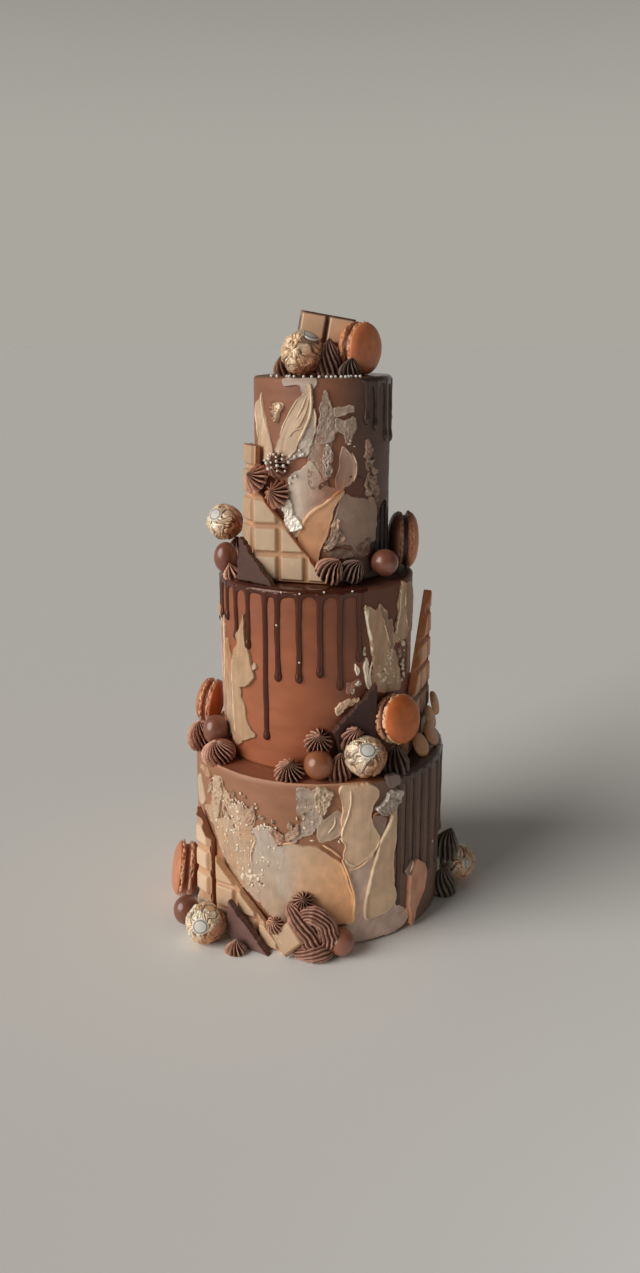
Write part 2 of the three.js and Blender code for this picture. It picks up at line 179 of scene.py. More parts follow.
def shell(rings, tones, sweep=0.0):
    # rings[i, j] is point j of ring i: neighbouring rings are joined and both ends are closed by a fan
    count, sides = rings.shape[:2]
    points, colours, sweeps = (np.vstack([each.reshape(-1, 3), each[0].mean(0), each[-1].mean(0)])
                               for each in (rings, np.broadcast_to(tones, rings.shape),
                                            np.broadcast_to(sweep, rings.shape)))
    j = np.arange(sides)
    k = (j + 1) % sides
    i = np.arange(count - 1)[:, None] * sides
    quads = np.stack([i + j, i + k, i + sides + k, i + sides + j], -1).reshape(-1, 4)
    last = (count - 1) * sides
    fans = np.vstack([np.stack([k, j, 0 * j + count * sides], -1),
                      np.stack([last + j, last + k, 0 * j + count * sides + 1], -1)])
    corners = points[np.vstack([quads[:, :3], quads[:, [0, 2, 3]], fans])] - points.mean(0)
    if np.einsum("ij,ij->", corners[:, 0], np.cross(corners[:, 1], corners[:, 2])) < 0:
        quads, fans = quads[:, ::-1], fans[:, ::-1]  # the volume came out negative: the faces point inwards
    return {"points": points, "tones": colours, "sweeps": sweeps, "quads": quads, "fans": fans}


def makePiece(name, parts, material, nodes=()):
    # all the parts go into one mesh, with each point's colour in the attribute "tone", its place in "sweep"
    starts = np.cumsum([0] + [len(part["points"]) for part in parts])
    words = ("points", "tones", "sweeps")
    points, tones, sweeps = (np.vstack([part[word] for part in parts]) for word in words)
    quads, fans = (np.vstack([part[word] + start for part, start in zip(parts, starts)])
                   for word in ("quads", "fans"))
    mesh = bpy.data.meshes.new(name)
    mesh.vertices.add(len(points))
    mesh.vertices.foreach_set("co", (points * metre).astype(np.float32).ravel())
    loops = np.concatenate([quads.ravel(), fans.ravel()]).astype(np.int32)
    mesh.loops.add(len(loops))
    mesh.loops.foreach_set("vertex_index", loops)
    mesh.polygons.add(len(quads) + len(fans))
    begins = np.concatenate([np.arange(len(quads)) * 4, len(quads) * 4 + np.arange(len(fans)) * 3])
    mesh.polygons.foreach_set("loop_start", begins.astype(np.int32))
    mesh.polygons.foreach_set("use_smooth", np.ones(len(begins), bool))
    mesh.update(calc_edges=True)
    colour = mesh.color_attributes.new(name="tone", type="FLOAT_COLOR", domain="POINT")
    opaque = np.hstack([tones, np.ones((len(tones), 1))])
    colour.data.foreach_set("color", opaque.astype(np.float32).ravel())
    if np.any(sweeps):
        swept = mesh.attributes.new(name="sweep", type="FLOAT_VECTOR", domain="POINT")
        swept.data.foreach_set("vector", (sweeps * metre).astype(np.float32).ravel())
    mesh.materials.append(material)
    piece = bpy.data.objects.new(name, mesh)
    scene.collection.objects.link(piece)
    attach(piece, "root")
    if nodes:
        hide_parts(*nodes)
    print(name, 2 * len(quads) + len(fans), "triangles")


def ranged(tree, source, low, high, to, upTo):
    # a node that carries the range low..high over to another one
    node = tree.nodes.new("ShaderNodeMapRange")
    for word, value in zip(("From Min", "From Max", "To Min", "To Max"), (low, high, to, upTo)):
        node.inputs[word].default_value = value
    tree.links.new(source, node.inputs["Value"])
    return node


# Finishes: each takes its colour from the attribute "tone" and adds its own fine pattern, roughness
# and relief
finishHabit = {
    "stretch": (1, 1, 1), "shade": 0.12, "reliefKind": "ShaderNodeTexNoise", "reliefStretch": (1, 1, 1),
    "reliefSettings": {"Detail": 4.0}, "reliefOutput": "Fac", "strength": 0.5, "shader": {},
    "cloudRange": (0.3, 0.7), "fleckEdge": 0.07,
}


def finish(name, given):
    # colour = tone * (1 +- shade by the cloud), mixed with a fleck; roughness = a range over the same cloud
    look = {**finishHabit, **given}
    material = bpy.data.materials.new(name)
    material.use_nodes = True
    tree = material.node_tree
    nodes, links = tree.nodes, tree.links
    shader = nodes["Principled BSDF"]
    place = nodes.new("ShaderNodeTexCoord")
    tone = nodes.new("ShaderNodeAttribute")
    tone.attribute_name = "tone"
    swept = nodes.new("ShaderNodeAttribute")
    swept.attribute_name = "sweep"

    def texture(kind, size, stretch=(1, 1, 1), **settings):
        turned = nodes.new("ShaderNodeMapping")
        turned.inputs["Scale"].default_value = stretch
        along = swept.outputs["Vector"] if settings.pop("alongSweep", False) else place.outputs["Object"]
        links.new(along, turned.inputs["Vector"])
        node = nodes.new(kind)
        node.inputs["Scale"].default_value = 1 / (size * metre)
        for word, value in settings.items():
            if word in node.inputs:
                node.inputs[word].default_value = value
            else:
                setattr(node, word, value)
        links.new(turned.outputs["Vector"], node.inputs["Vector"])
        return node

    def clouded(low, high):
        return ranged(tree, cloud.outputs["Fac"], *look["cloudRange"], low, high).outputs["Result"]

    # the colour's cloud and flecks
    cloud = texture("ShaderNodeTexNoise", look["cloud"], look["stretch"], Detail=5.0)
    shade = nodes.new("ShaderNodeMix")
    shade.data_type, shade.blend_type = "RGBA", "MULTIPLY"
    shade.inputs["Factor"].default_value = 1
    links.new(tone.outputs["Color"], shade.inputs["A"])
    links.new(clouded(1 - look["shade"], 1 + look["shade"]), shade.inputs["B"])
    colour = shade.outputs["Result"]
    if "fleck" in look:
        fleck = texture("ShaderNodeTexNoise", look["fleckSize"], Detail=2.0)
        dotted = nodes.new("ShaderNodeMix")
        dotted.data_type = "RGBA"
        flecked = ranged(tree, fleck.outputs["Fac"], look["fleckFrom"], look["fleckFrom"] + look["fleckEdge"],
                         0, look["fleckShare"])
        links.new(flecked.outputs["Result"], dotted.inputs["Factor"])
        links.new(colour, dotted.inputs["A"])
        dotted.inputs["B"].default_value = (*light(*look["fleck"]), 1)
        colour = dotted.outputs["Result"]
    links.new(colour, shader.inputs["Base Color"])

    # roughness follows the cloud, relief comes from a fine pattern and, where named, from cell edges
    links.new(clouded(*look["roughness"]), shader.inputs["Roughness"])
    fine = texture(look["reliefKind"], look["relief"], look["reliefStretch"], **look["reliefSettings"])
    bump = nodes.new("ShaderNodeBump")
    bump.inputs["Strength"].default_value = look["strength"]
    bump.inputs["Distance"].default_value = look["reliefHeight"] * metre
    links.new(fine.outputs[look["reliefOutput"]], bump.inputs["Height"])
    links.new(bump.outputs["Normal"], shader.inputs["Normal"])
    for word, value in look["shader"].items():
        shader.inputs[word].default_value = value
    return material


gloss = "Specular IOR Level"
butter = finish("whippedButtercream", {
    "cloud": 26, "shade": 0.1, "stretch": (1, 1, 2.2), "roughness": (0.42, 0.62), "relief": 2.6,
    "reliefStretch": (0.7, 0.7, 2.4), "reliefHeight": 0.35, "strength": 0.35, "fleck": (92, 55, 38),
    "fleckSize": 2.4, "fleckFrom": 0.7, "fleckShare": 0.35,
    "shader": {"Subsurface Weight": 0.06, "Subsurface Scale": 0.003, gloss: 0.45},
})
knifed = finish("knifeSpreadButtercream", {
    "cloud": 9, "roughness": (0.42, 0.62), "relief": 1.5, "reliefHeight": 0.35,
    "reliefSettings": {"Detail": 4.0, "alongSweep": True}, "fleck": (225, 205, 180), "fleckSize": 3.2,
    "fleckFrom": 0.68, "fleckShare": 0.3,
    "shader": {"Subsurface Weight": 0.04, "Subsurface Scale": 0.002, gloss: 0.4},
})
ganache = finish("pouredGanache", {
    "cloud": 14, "shade": 0.14, "roughness": (0.15, 0.27), "relief": 7, "reliefHeight": 0.5,
    "strength": 0.35, "shader": {gloss: 0.62, "Specular Tint": (*light(255, 220, 204), 1)},
})
piped = finish("pipedGanache", {
    "cloud": 5, "shade": 0.16, "roughness": (0.34, 0.5), "relief": 0.9, "reliefHeight": 0.18,
    "strength": 0.6, "shader": {gloss: 0.42, "Specular Tint": (*light(255, 215, 195), 1)},
})
blond = finish("blondChocolate", {
    "cloud": 16, "shade": 0.07, "roughness": (0.34, 0.48), "relief": 3.2, "reliefHeight": 0.14,
    "fleck": (236, 206, 166), "fleckSize": 6.0, "fleckFrom": 0.62, "fleckShare": 0.25,
    "shader": {"Subsurface Weight": 0.05, "Subsurface Scale": 0.002},
})
darkSlab = finish("brokenDarkChocolate", {
    "cloud": 11, "shade": 0.16, "roughness": (0.3, 0.46), "relief": 1.5, "reliefHeight": 0.16,
    "fleck": (118, 88, 80), "fleckSize": 1.6, "fleckFrom": 0.66, "fleckShare": 0.5,
    "shader": {gloss: 0.38, "Specular Tint": (*light(255, 215, 200), 1)},
})
glazed = finish("glazedMilkChocolate", {
    "cloud": 7, "roughness": (0.28, 0.4), "relief": 3.5, "reliefHeight": 0.14, "strength": 0.4,
    "shader": {"Coat Weight": 0.5, "Coat Roughness": 0.13, gloss: 0.5},
})
baked = finish("macaronShell", {
    "cloud": 8, "shade": 0.14, "roughness": (0.3, 0.46), "relief": 0.8, "reliefHeight": 0.14,
    "strength": 0.6, "fleck": (112, 58, 30), "fleckSize": 1.1, "fleckFrom": 0.66, "fleckShare": 0.5,
    "shader": {gloss: 0.45},
})
crumpledFoil = finish("crumpledFoil", {
    "cloud": 4, "shade": 0.16, "roughness": (0.26, 0.44), "relief": 1.6, "reliefHeight": 0.5,
    "strength": 0.7, "reliefKind": "ShaderNodeTexVoronoi", "reliefOutput": "Distance",
    "reliefSettings": {"feature": "DISTANCE_TO_EDGE"},
    "shader": {"Metallic": 0.25, gloss: 0.6, "Specular Tint": (*light(255, 240, 214), 1)},
})
silver = finish("silverLeaf", {
    "cloud": 3, "shade": 0.22, "roughness": (0.3, 0.46), "relief": 1.6, "reliefHeight": 0.4,
    "strength": 0.7, "shader": {"Metallic": 0.2, gloss: 0.55},
})
sticker = finish("plainPaperSticker", {
    "cloud": 5, "shade": 0.04, "roughness": (0.42, 0.5), "relief": 1.2, "reliefHeight": 0.05,
    "strength": 0.4,
})
sugar = finish("sugarPearl", {
    "cloud": 2, "shade": 0.08, "roughness": (0.16, 0.28), "relief": 0.9, "reliefHeight": 0.04,
    "strength": 0.4, "shader": {gloss: 0.6, "Coat Weight": 0.3},
})
print("finishes are ready")

# Camera at the photo's viewing angle, soft studio light from the left, plain floor
view = {"place": (0.0013, -0.8892, 0.4923), "pitch": 16.06, "lens": 30.26}
camera = bpy.data.objects.new("camera", bpy.data.cameras.new("camera"))
camera.location = view["place"]
camera.rotation_euler = (np.radians(90 - view["pitch"]), 0, 0)
camera.data.lens = view["lens"]
camera.data.sensor_width = 36
camera.data.clip_start = 0.01
scene.collection.objects.link(camera)
scene.camera = camera
scene.view_settings.view_transform = "Standard"

# a window's light and a fainter one thrown back from the floor on the far side; "from" points to the light
studio = {
    "window": {"kind": "SUN", "place": (-1.2, -0.9, 1.0), "from": (-0.86, -0.46, 0.44),
               "energy": 2.6, "angle": np.radians(48), "color": (1.0, 0.97, 0.93)},
    "bounce": {"kind": "AREA", "place": (0.34, -0.46, 0.05), "from": (0.3, -0.41, -0.03),
               "energy": 0.26, "size": 0.5, "color": (0.86, 0.93, 1.0)},
}
for name, lamp in studio.items():
    bulb = bpy.data.lights.new(name, lamp["kind"])
    for word in ("energy", "angle", "size", "color"):
        if word in lamp:
            setattr(bulb, word, lamp[word])
    holder = bpy.data.objects.new(name, bulb)
    holder.location = lamp["place"]
    x, y, z = lamp["from"]
    holder.rotation_euler = (np.arctan2(np.hypot(x, y), z), 0, np.arctan2(y, x) + np.pi / 2)
    scene.collection.objects.link(holder)

# world: pale grey low down on the window's side and behind, darker overhead and on the far side
sky = {"tone": light(170, 167, 159), "side": (-0.55, 0.83, 0), "upward": (0.12, 0.5, 1.0, 0.32),
       "sideways": (-0.5, 0.55, 0.33, 1.0)}
world = bpy.data.worlds.new("studio")
world.use_nodes = True
skyNodes, skyLinks = world.node_tree.nodes, world.node_tree.links
skyPlace = skyNodes.new("ShaderNodeTexCoord")
skyParts = skyNodes.new("ShaderNodeSeparateXYZ")
skyLinks.new(skyPlace.outputs["Generated"], skyParts.inputs["Vector"])
skySide = skyNodes.new("ShaderNodeVectorMath")
skySide.operation = "DOT_PRODUCT"
skySide.inputs[1].default_value = sky["side"]
skyLinks.new(skyPlace.outputs["Generated"], skySide.inputs[0])
skyShares = []
for source, spots in ((skyParts.outputs["Z"], sky["upward"]), (skySide.outputs["Value"], sky["sideways"])):
    node = ranged(world.node_tree, source, *spots)
    node.interpolation_type = "SMOOTHSTEP"
    skyShares.append(node.outputs["Result"])
skyPower = skyNodes.new("ShaderNodeMath")
skyPower.operation = "MULTIPLY"
skyLinks.new(skyShares[0], skyPower.inputs[0])
skyLinks.new(skyShares[1], skyPower.inputs[1])
background = skyNodes["Background"]
background.inputs["Color"].default_value = (*sky["tone"], 1)
skyLinks.new(skyPower.outputs["Value"], background.inputs["Strength"])
scene.world = world

ground = {"reach": 30.0, "tone": light(247, 246, 242), "roughness": 0.8}
floorMesh = bpy.data.meshes.new("floor")
reach = ground["reach"]
floorMesh.from_pydata([(-reach, -reach, 0), (reach, -reach, 0), (reach, reach, 0), (-reach, reach, 0)], [],
                      [(0, 1, 2, 3)])
floor = bpy.data.objects.new("floor", floorMesh)
floorLook = bpy.data.materials.new("paleFloor")
floorLook.use_nodes = True
floorShader = floorLook.node_tree.nodes["Principled BSDF"]
floorShader.inputs["Base Color"].default_value = (*ground["tone"], 1)
floorShader.inputs["Roughness"].default_value = ground["roughness"]
floorMesh.materials.append(floorLook)
scene.collection.objects.link(floor)
print("camera, light and floor are set")

# Frosted tiers: a profile from the underside's middle, up the side and in over the rounded edge,
# carried round the tier's axis
frosting = {
    "sides": {"bottom": light(170, 118, 88), "middle": light(166, 95, 61), "top": light(150, 97, 70)},
    "ledges": {"bottom": light(158, 96, 68), "middle": light(104, 62, 48), "top": light(120, 80, 62)},
    "rimHighlight": light(226, 178, 142), "wave": 0.5, "scraped": 0.12, "swirl": 0.16, "mottle": 0.07,
    "step": 1.3, "round": 2.6, "fineTo": 112, "coarse": 2.6, "lipFrom": (-75, -58), "lipTo": (14, 27),
    "rightShadeTo": 36, "rightShadeBack": (150, 190),
}


def tierBody(tier, innerRadius, lipped, rightShading, sideTone, ledgeTone):
    # grid of a profile and an angle; both are finer on the side that the photo shows
    step, bend, fineTo = frosting["step"], frosting["round"], frosting["fineTo"]
    radius, base, top = tier["radius"], tier["base"], tier["top"]
    climb = np.arange(base + 2, top - 3, step)
    turn = np.radians([8, 26, 45, 64, 82])
    inward = np.arange(radius - 3.2, innerRadius - 4, -step * 1.5)
    reach = np.concatenate([[0.2 * radius, 0.7 * radius, radius - 1.2, radius - 0.3], 0 * climb + radius,
                            radius - bend + bend * np.cos(turn), inward,
                            [0.6 * innerRadius, 0.2 * innerRadius]])
    height = np.concatenate([[base, base, base, base + 0.8], climb, top - bend + bend * np.sin(turn),
                             np.full(len(inward) + 2, top)])
    front, back = np.radians(fineTo), np.radians(360 - fineTo)
    angle = np.concatenate([np.arange(-front, front, step / radius),
                            np.arange(front, back, frosting["coarse"] * step / radius)])
    r, h, a = reach[:, None], height[:, None] + 0 * angle, angle[None] + 0 * reach[:, None]
    degrees = np.degrees(a)
    at = about(0, r, a, h)
    side = smooth(base, base + 4, h) * (r > radius - 3)
    wave = frosting["wave"] * cloudy(at, 34, 3) + frosting["scraped"] * grain(at * [0.05, 0.05, 1], 2.1, 5)
    r = r + side * wave
    onTop = smooth(top - 1.5, top - 0.2, h)
    swirl = grain(np.stack([r, 4 * a, 0 * a], -1), 2.6, 8) * frosting["swirl"] + 0.35 * cloudy(at, 16, 9)
    h = h + onTop * (swirl - 0.2) * (r > innerRadius - 3)
    edge = np.exp(-(((r - radius + 2.0) / 1.3) ** 2)) * onTop * lipped * smooth(*frosting["lipFrom"], degrees)
    edge = edge * (1 - smooth(*frosting["lipTo"], degrees))
    h = h + edge * (1.0 + 0.5 * grain(at, 5, 12))
    tone = mixTones(sideTone, ledgeTone, onTop)
    # painted highlight: the raised lip is lighter on the front and left, where the light falls on it
    tone = mixTones(tone, frosting["rimHighlight"], edge * (0.75 + 0.25 * grain(at, 8, 14)))
    share, start, thinTone, shade = rightShading
    # the right side's darker, greyer tone is partly a darker coat and partly painted shade
    rightShadeShare = smooth(start, frosting["rightShadeTo"], degrees + 4 * cloudy(at, 15, 19))
    rightShadeShare = rightShadeShare * (1 - smooth(*frosting["rightShadeBack"], degrees))
    tone = mixTones(tone, thinTone, rightShadeShare * share * (1 - onTop))
    # painted shade: each side darker towards its top
    tone = tone * (1 - shade * smooth(top - 70, top - 20, h) * (1 - onTop))[..., None]
    return shell(about(tier["axisX"], r, a, h), uneven(tone, frosting["mottle"], at, 20, 17))


# last entry of each row: share of a darker, greyer tone on the right side (partly a darker coat, partly
# painted shade), from which angle, that tone, painted shade near the top
for name, tier, inner, lipped, rightShading in (
        ("bottom", bottomTier, 81, 1.0, (0.62, 12, light(98, 83, 77), 0.12)),
        ("middle", middleTier, 55, 0.3, (0.66, -18, light(102, 61, 48), 0.2)),
        ("top", topTier, 8, 0.2, (0.85, 10, light(98, 77, 69), 0.12))):
    body = tierBody(tier, inner, lipped, rightShading, frosting["sides"][name], frosting["ledges"][name])
    makePiece(f"frosting_{name}", [body], butter, [f"tier_{name}"])
print("tiers are frosted")

# Ganache: a sheet that lies on the ledge and turns over its edge, and drips that run down from it
pour = {
    "thick": 0.9, "band": 5.2, "arch": 4.4, "archWide": 4.2, "over": 1.3, "step": 0.9,
    "edgeIn": 2.6, "edgeDown": 2.4, "fadeOver": 7, "ragged": 0.8, "swell": 0.4,
    "stem": 2.3, "flare": 2.6, "flareTall": 5.5, "bulb": 0.8, "bulbUp": 4.5, "bulbTall": 4, "bulbProud": 1.2,
    "proud": 1.9, "tip": 3, "swing": 0.5, "dripStep": 1.1, "sides": 14,
}
# the top and bottom runs lie on the right side: their greyer tone is partly painted sheen and shade
ganacheRuns = {
    "top": {
        "tier": topTier, "from": 33, "to": 152, "inner": 12, "tone": light(74, 60, 54),
        "drips": [(39, 36), (49, 41), (65, 50), (80, 52), (96, 38), (112, 46), (128, 33), (144, 42)],
    },
    "middle": {
        "tier": middleTier, "from": -170, "to": 30, "inner": 50, "tone": light(74, 35, 23),
        "drips": [(-162, 48), (-147, 66), (-132, 52), (-117, 72), (-101, 56), (-85, 44), (-75, 38), (-65, 36),
                  (-54, 49), (-43, 54), (-30.3, 128), (-22.6, 76), (-10.1, 76), (1.8, 71), (13.3, 82),
                  (24.6, 60)],
    },
    "bottom": {
        "tier": bottomTier, "from": 29, "to": 168, "inner": 76, "tone": light(80, 64, 59),
        "drips": [(37.8, 119), (42.8, 93), (48, 88), (54, 107), (61, 103), (71, 105), (82, 84), (95, 96),
                  (108, 72), (122, 90), (136, 64), (150, 80), (163, 58)],
    },
}


def ganacheSheet(run):
    # cross-section: in along the ledge, a quarter round over the edge, down to an edge that dips at each drip
    radius, top = run["tier"]["radius"], run["tier"]["top"]
    edgeIn, edgeDown = pour["edgeIn"], pour["edgeDown"]
    degrees = np.arange(run["from"], run["to"], np.degrees(pour["step"] / radius))
    toEnd = np.minimum(degrees - run["from"], run["to"] - degrees) * np.radians(1) * radius
    full = smooth(0, pour["fadeOver"], toEnd)[:, None]
    centres = np.array([angle for angle, length in run["drips"]])
    apart = np.abs(degrees[:, None] - centres[None]) * np.radians(radius)
    dip = np.exp(-((apart / pour["archWide"]) ** 2)).sum(1)[:, None]
    band = pour["band"] + pour["arch"] * dip + pour["ragged"] * grain(line(degrees), 3.1, 21)[:, None]
    band = band * (0.25 + 0.75 * full)
    t = np.linspace(0, 1, 9)[None]
    thick = pour["thick"] * (0.15 + 0.85 * full)
    turn = np.linspace(0, np.pi / 2, 7)[None]
    flatPart = [run["inner"] + (radius - edgeIn - run["inner"]) * t + 0 * full, top + thick + 0 * t]
    over = pour["over"] * full
    rounded = [radius - edgeIn + (edgeIn + over) * np.sin(turn),
               top - edgeDown + (edgeDown + thick) * np.cos(turn)]
    down = [radius + over * np.sqrt(np.clip(1 - t ** 4, 0, 1)), top - edgeDown - (band - edgeDown) * t]
    under = [radius - np.array([[1.2, 3.2, 4.0]]) + 0 * full, top - np.array([[5.0, 3.0, 1.6]]) + 0 * full]
    inside = [run["inner"] + np.array([[0.0]]) + 0 * full, top - 1.2 + 0 * full]
    r, h = (np.hstack([flatPart[i], rounded[i][:, 1:], down[i][:, 1:], under[i], inside[i]]) for i in (0, 1))
    a = np.radians(degrees)[:, None] + 0 * r
    swell = pour["swell"] * cloudy(about(0, r, a, h), 11, 23)
    h = h + np.where(h > top, swell, 0)
    r = r + np.where((h < top) & (r > radius), swell * 0.5, 0)
    return shell(about(run["tier"]["axisX"], r, a, h), run["tone"])


def drip(run, angle, length, seed):
    # half width = stem + a flare under the edge + a bulb near the tip, closed by a round end
    tier, tall = run["tier"], pour["tip"]
    rounded = length - tall + tall * np.sin(np.linspace(0, 1.45, 7))
    down = np.concatenate([np.arange(2, length - tall, pour["dripStep"]), rounded])
    tip = np.sqrt(np.clip(1 - (np.clip(down - length + tall, 0, tall) / tall) ** 2, 0.0, 1))
    swing = grain(line(down), 17, seed)
    wider = 1 + 0.09 * grain(line(down), 6, seed + 60)
    bulb = pour["bulb"] * np.exp(-(((down - length + pour["bulbUp"]) / pour["bulbTall"]) ** 2))
    flare = pour["flare"] * np.exp(-((down - 2) / pour["flareTall"]))
    half = (pour["stem"] * wider + flare + bulb) * tip
    proud = (pour["proud"] * wider + pour["bulbProud"] * bulb) * tip
    turn = circle(pour["sides"])
    across = np.radians(angle) * tier["radius"] + pour["swing"] * swing[:, None]
    across = across + half[:, None] * np.cos(turn)
    up = (tier["top"] - down)[:, None] + 0 * turn
    return shell(onTier(tier, across, up, proud[:, None] * np.sin(turn)), run["tone"])


for name, run in ganacheRuns.items():
    poured = [ganacheSheet(run)] + [drip(run, *way, 100 + i) for i, way in enumerate(run["drips"])]
    makePiece(f"ganache_{name}", poured, ganache, [f"tier_{name}"])
print("ganache is poured")

# Palette-knife strokes: outlines are (angle, height) corners on the tier
spread = {
    "cream": light(208, 180, 151), "butter": light(197, 159, 124), "leftButter": light(182, 148, 117),
    "sand": light(196, 168, 142), "grey": light(193, 175, 160), "pearl": light(208, 190, 171),
    "taupe": light(170, 141, 122), "mushroom": light(158, 130, 112), "lilac": light(186, 166, 154),
    "caramel": light(244, 181, 130), "toffee": light(182, 122, 82), "blush": light(168, 120, 98),
    # the shade... tones are lighter copies for strokes that lie in shade on the right: partly their own paler
    # colour, partly painted light
    "cocoa": light(112, 70, 54), "ash": light(150, 132, 122), "shadeCream": light(242, 207, 170),
    "shadeTaupe": light(222, 184, 150), "shadeGrey": light(196, 170, 150),
    "shadeLilac": light(226, 194, 176), "shadeRose": light(224, 163, 132), "stone": light(188, 155, 134),
    # the rim... tones of raised lines and flakes are lighter: partly paler cream, partly painted highlight
    "midCream": light(208, 169, 134), "midStone": light(178, 140, 115), "rimPale": light(255, 238, 212),
    "rimCream": light(240, 211, 178), "rimCaramel": light(240, 190, 146),
    "sandCaramel": light(208, 174, 143), "amber": light(226, 172, 132), "amberShade": light(206, 148, 108),
    "darkShadedSide": light(72, 56, 49), "darkRun": light(58, 46, 41), "crack": light(138, 88, 64),
    "crumb": light(250, 230, 205), "crumbBrown": light(150, 98, 70), "leaf": light(238, 231, 216),
}
strokeHabit = {
    "thick": 1.1, "lip": 0.7, "lipWay": -90, "ragged": 0.5, "sweep": 90, "crinkle": 0.0, "layer": 0,
    "bow": 0, "blend": 0.5, "under": 0.9, "mostInset": 0.45, "fade": None, "streak": 0.35, "step": 0.88,
    "furrow": 0.16, "thinWay": None, "thinTone": "grey",
}


def stroke(tone, second, outline, **more):
    # settings of one stroke: two tones that blend, its outline and what differs from the habit
    return {**strokeHabit, "tone": tone, "second": second, "outline": outline, **more}


def knifeStroke(tier, given, seed):
    # rings are the outline drawn in towards its middle; height = thickness + a lip near the edge + furrows
    edge = curveThrough(unrolled(tier, given["outline"]), given["step"], True)
    ahead = np.roll(edge, -1, 0) - np.roll(edge, 1, 0)
    turned = np.sum(edge[:, 0] * np.roll(edge[:, 1], -1) - edge[:, 1] * np.roll(edge[:, 0], -1))
    outward = unit(np.stack([ahead[:, 1], -ahead[:, 0]], -1)) * np.sign(turned)
    spots = marked(edge, 9.7 * seed)
    torn = grain(spots, 5.5, seed) + 0.7 * grain(spots, 2.4, seed + 1) + 0.5 * grain(spots, 1.5, seed + 2)
    edge = edge + outward * (given["ragged"] * torn)[:, None]
    middle = edge.mean(0)
    toMiddle = middle - edge
    reach = np.linalg.norm(toMiddle, axis=1)[:, None]
    toMiddle = toMiddle / reach
    lip = given["lip"] * (0.3 + 0.7 * np.clip(toward(outward, given["lipWay"]), 0, 1)) * (1 + 0.5 * torn)
    # rings near the edge: how far in they lie, and their shares of the thickness and of the lip
    insets = np.array([0, 0.25, 0.6, 1.1, 1.7, 2.5])
    body = np.array([-0.5, 0.45, 0.85, 1, 1, 1])
    raised = np.array([0, 0.35, 0.85, 1, 0.6, 0.15])
    rings = [edge + toMiddle * np.minimum(inset, given["mostInset"] * reach) for inset in insets]
    heights = [b * given["thick"] + c * lip for b, c in zip(body, raised)]
    fine = given["crinkle"] >= 0.35
    apart, most = (0.86, 28) if fine else (1.6, 22)
    draws = np.linspace(0.96, 0.04, int(np.clip(np.median(reach) / apart, 7, most)))
    rings += [middle + (rings[-1] - middle) * draw for draw in draws]
    heights += [given["thick"] + 0.15 * lip * (draw > 0.9) for draw in draws]
    under = [middle + (edge - middle) * draw for draw in (0.1, 0.6, 1.0)]
    sheet = np.array(under + rings)
    height = np.array([np.full(len(edge), -given["under"])] * 3 + [h + 0 * reach[:, 0] for h in heights])
    sweep = np.radians(given["sweep"])
    along = toward(sheet, given["sweep"])
    across = sheet @ [-np.sin(sweep), np.cos(sweep)]
    bend = across + 0.012 * (along - along.mean()) ** 2 * given["bow"]
    furrow = grain(np.stack([bend, along * 0.05, 0 * along + seed], -1), 2.3, seed + 2)
    spot = marked(sheet, seed)
    rough = (1 - 2 * np.abs(grain(spot, 5.0, seed + 3))) + 0.7 * (1 - 2 * np.abs(grain(spot, 2.7, seed + 4)))
    if fine:
        rough = 0.75 * rough + 0.8 * (1 - 2 * np.abs(grain(spot, 1.8, seed + 8)))
    relief = given["furrow"] * furrow + 0.25 * cloudy(spot, 12, seed + 5) + given["crinkle"] * rough
    relief[:4] = 0
    height = height + relief + 0.25 * given["layer"] * (height > 0)
    tone = spread[given["tone"]] + 0 * sheet[..., :1]
    if given["second"]:
        share = 0.5 + 1.1 * grain(np.stack([bend, along * 0.3, 0 * along], -1), 4.5, seed + 6)
        share = np.clip(share, 0, 1) * given["blend"]
        if given["fade"] is not None:
            run = toward(sheet, given["fade"])
            passed = smooth(run.min(), run.max(), run) * 1.3 - 0.15
            share = np.clip(passed + given["streak"] * (share - 0.25), 0, 1)
        tone = mixTones(tone, spread[given["second"]], share)
    # painted light and shade: lighter on the furrows' crests, darker in their troughs and in the crinkles'
    # hollows
    tone = tone * (1 + 0.5 * given["furrow"] * furrow - 0.16 * given["crinkle"] * (rough < 0))[..., None]
    if given["thinWay"] is not None:
        # the side that runs out flush with what lies under it: thickness and tone grow from there
        run = -toward(sheet, given["thinWay"])
        grow = smooth(0.0, 0.34, (run - run.min()) / (run.max() - run.min()))
        height = np.where(height > 0, height * (0.62 + 0.38 * grow), height)
        tone = mixTones(spread[given["thinTone"]] + 0 * tone, tone, grow)
    swept = np.stack([bend, along * 0.06, 0 * along + 10.0 * seed], -1)
    return shell(onTier(tier, sheet[..., 0], sheet[..., 1], height), tone, swept)


def bead(tier, seed, width, lift, tone, path, proud=1.2, ends=4.0):
    # a raised line: half width and height taper to both ends as the root of the distance to them
    step = 0.9
    path = curveThrough(unrolled(tier, path), step, False)
    ahead = np.gradient(path, axis=0)
    aside = unit(np.stack([-ahead[:, 1], ahead[:, 0]], -1))
    walked = np.arange(len(path)) * step
    taper = np.sqrt(np.clip(np.minimum(walked, walked[-1] - walked) / ends, 0.02, 1))
    wider = 1 + 0.28 * grain(marked(path, seed), 4, seed)
    turn = circle(10)
    half = (width / 2 * taper * wider)[:, None]
    sheet = path[:, None] + aside[:, None] * (half * np.cos(turn))[..., None]
    height = lift + proud * (taper * wider)[:, None] * np.sin(turn)
    height = np.where(np.sin(turn) < -0.1, -0.4, height)
    swept = np.stack([half * np.cos(turn), 0 * height + walked[:, None] * 0.06, 0 * height + 10.0 * seed], -1)
    return shell(onTier(tier, sheet[..., 0], sheet[..., 1], height), spread[tone], swept)


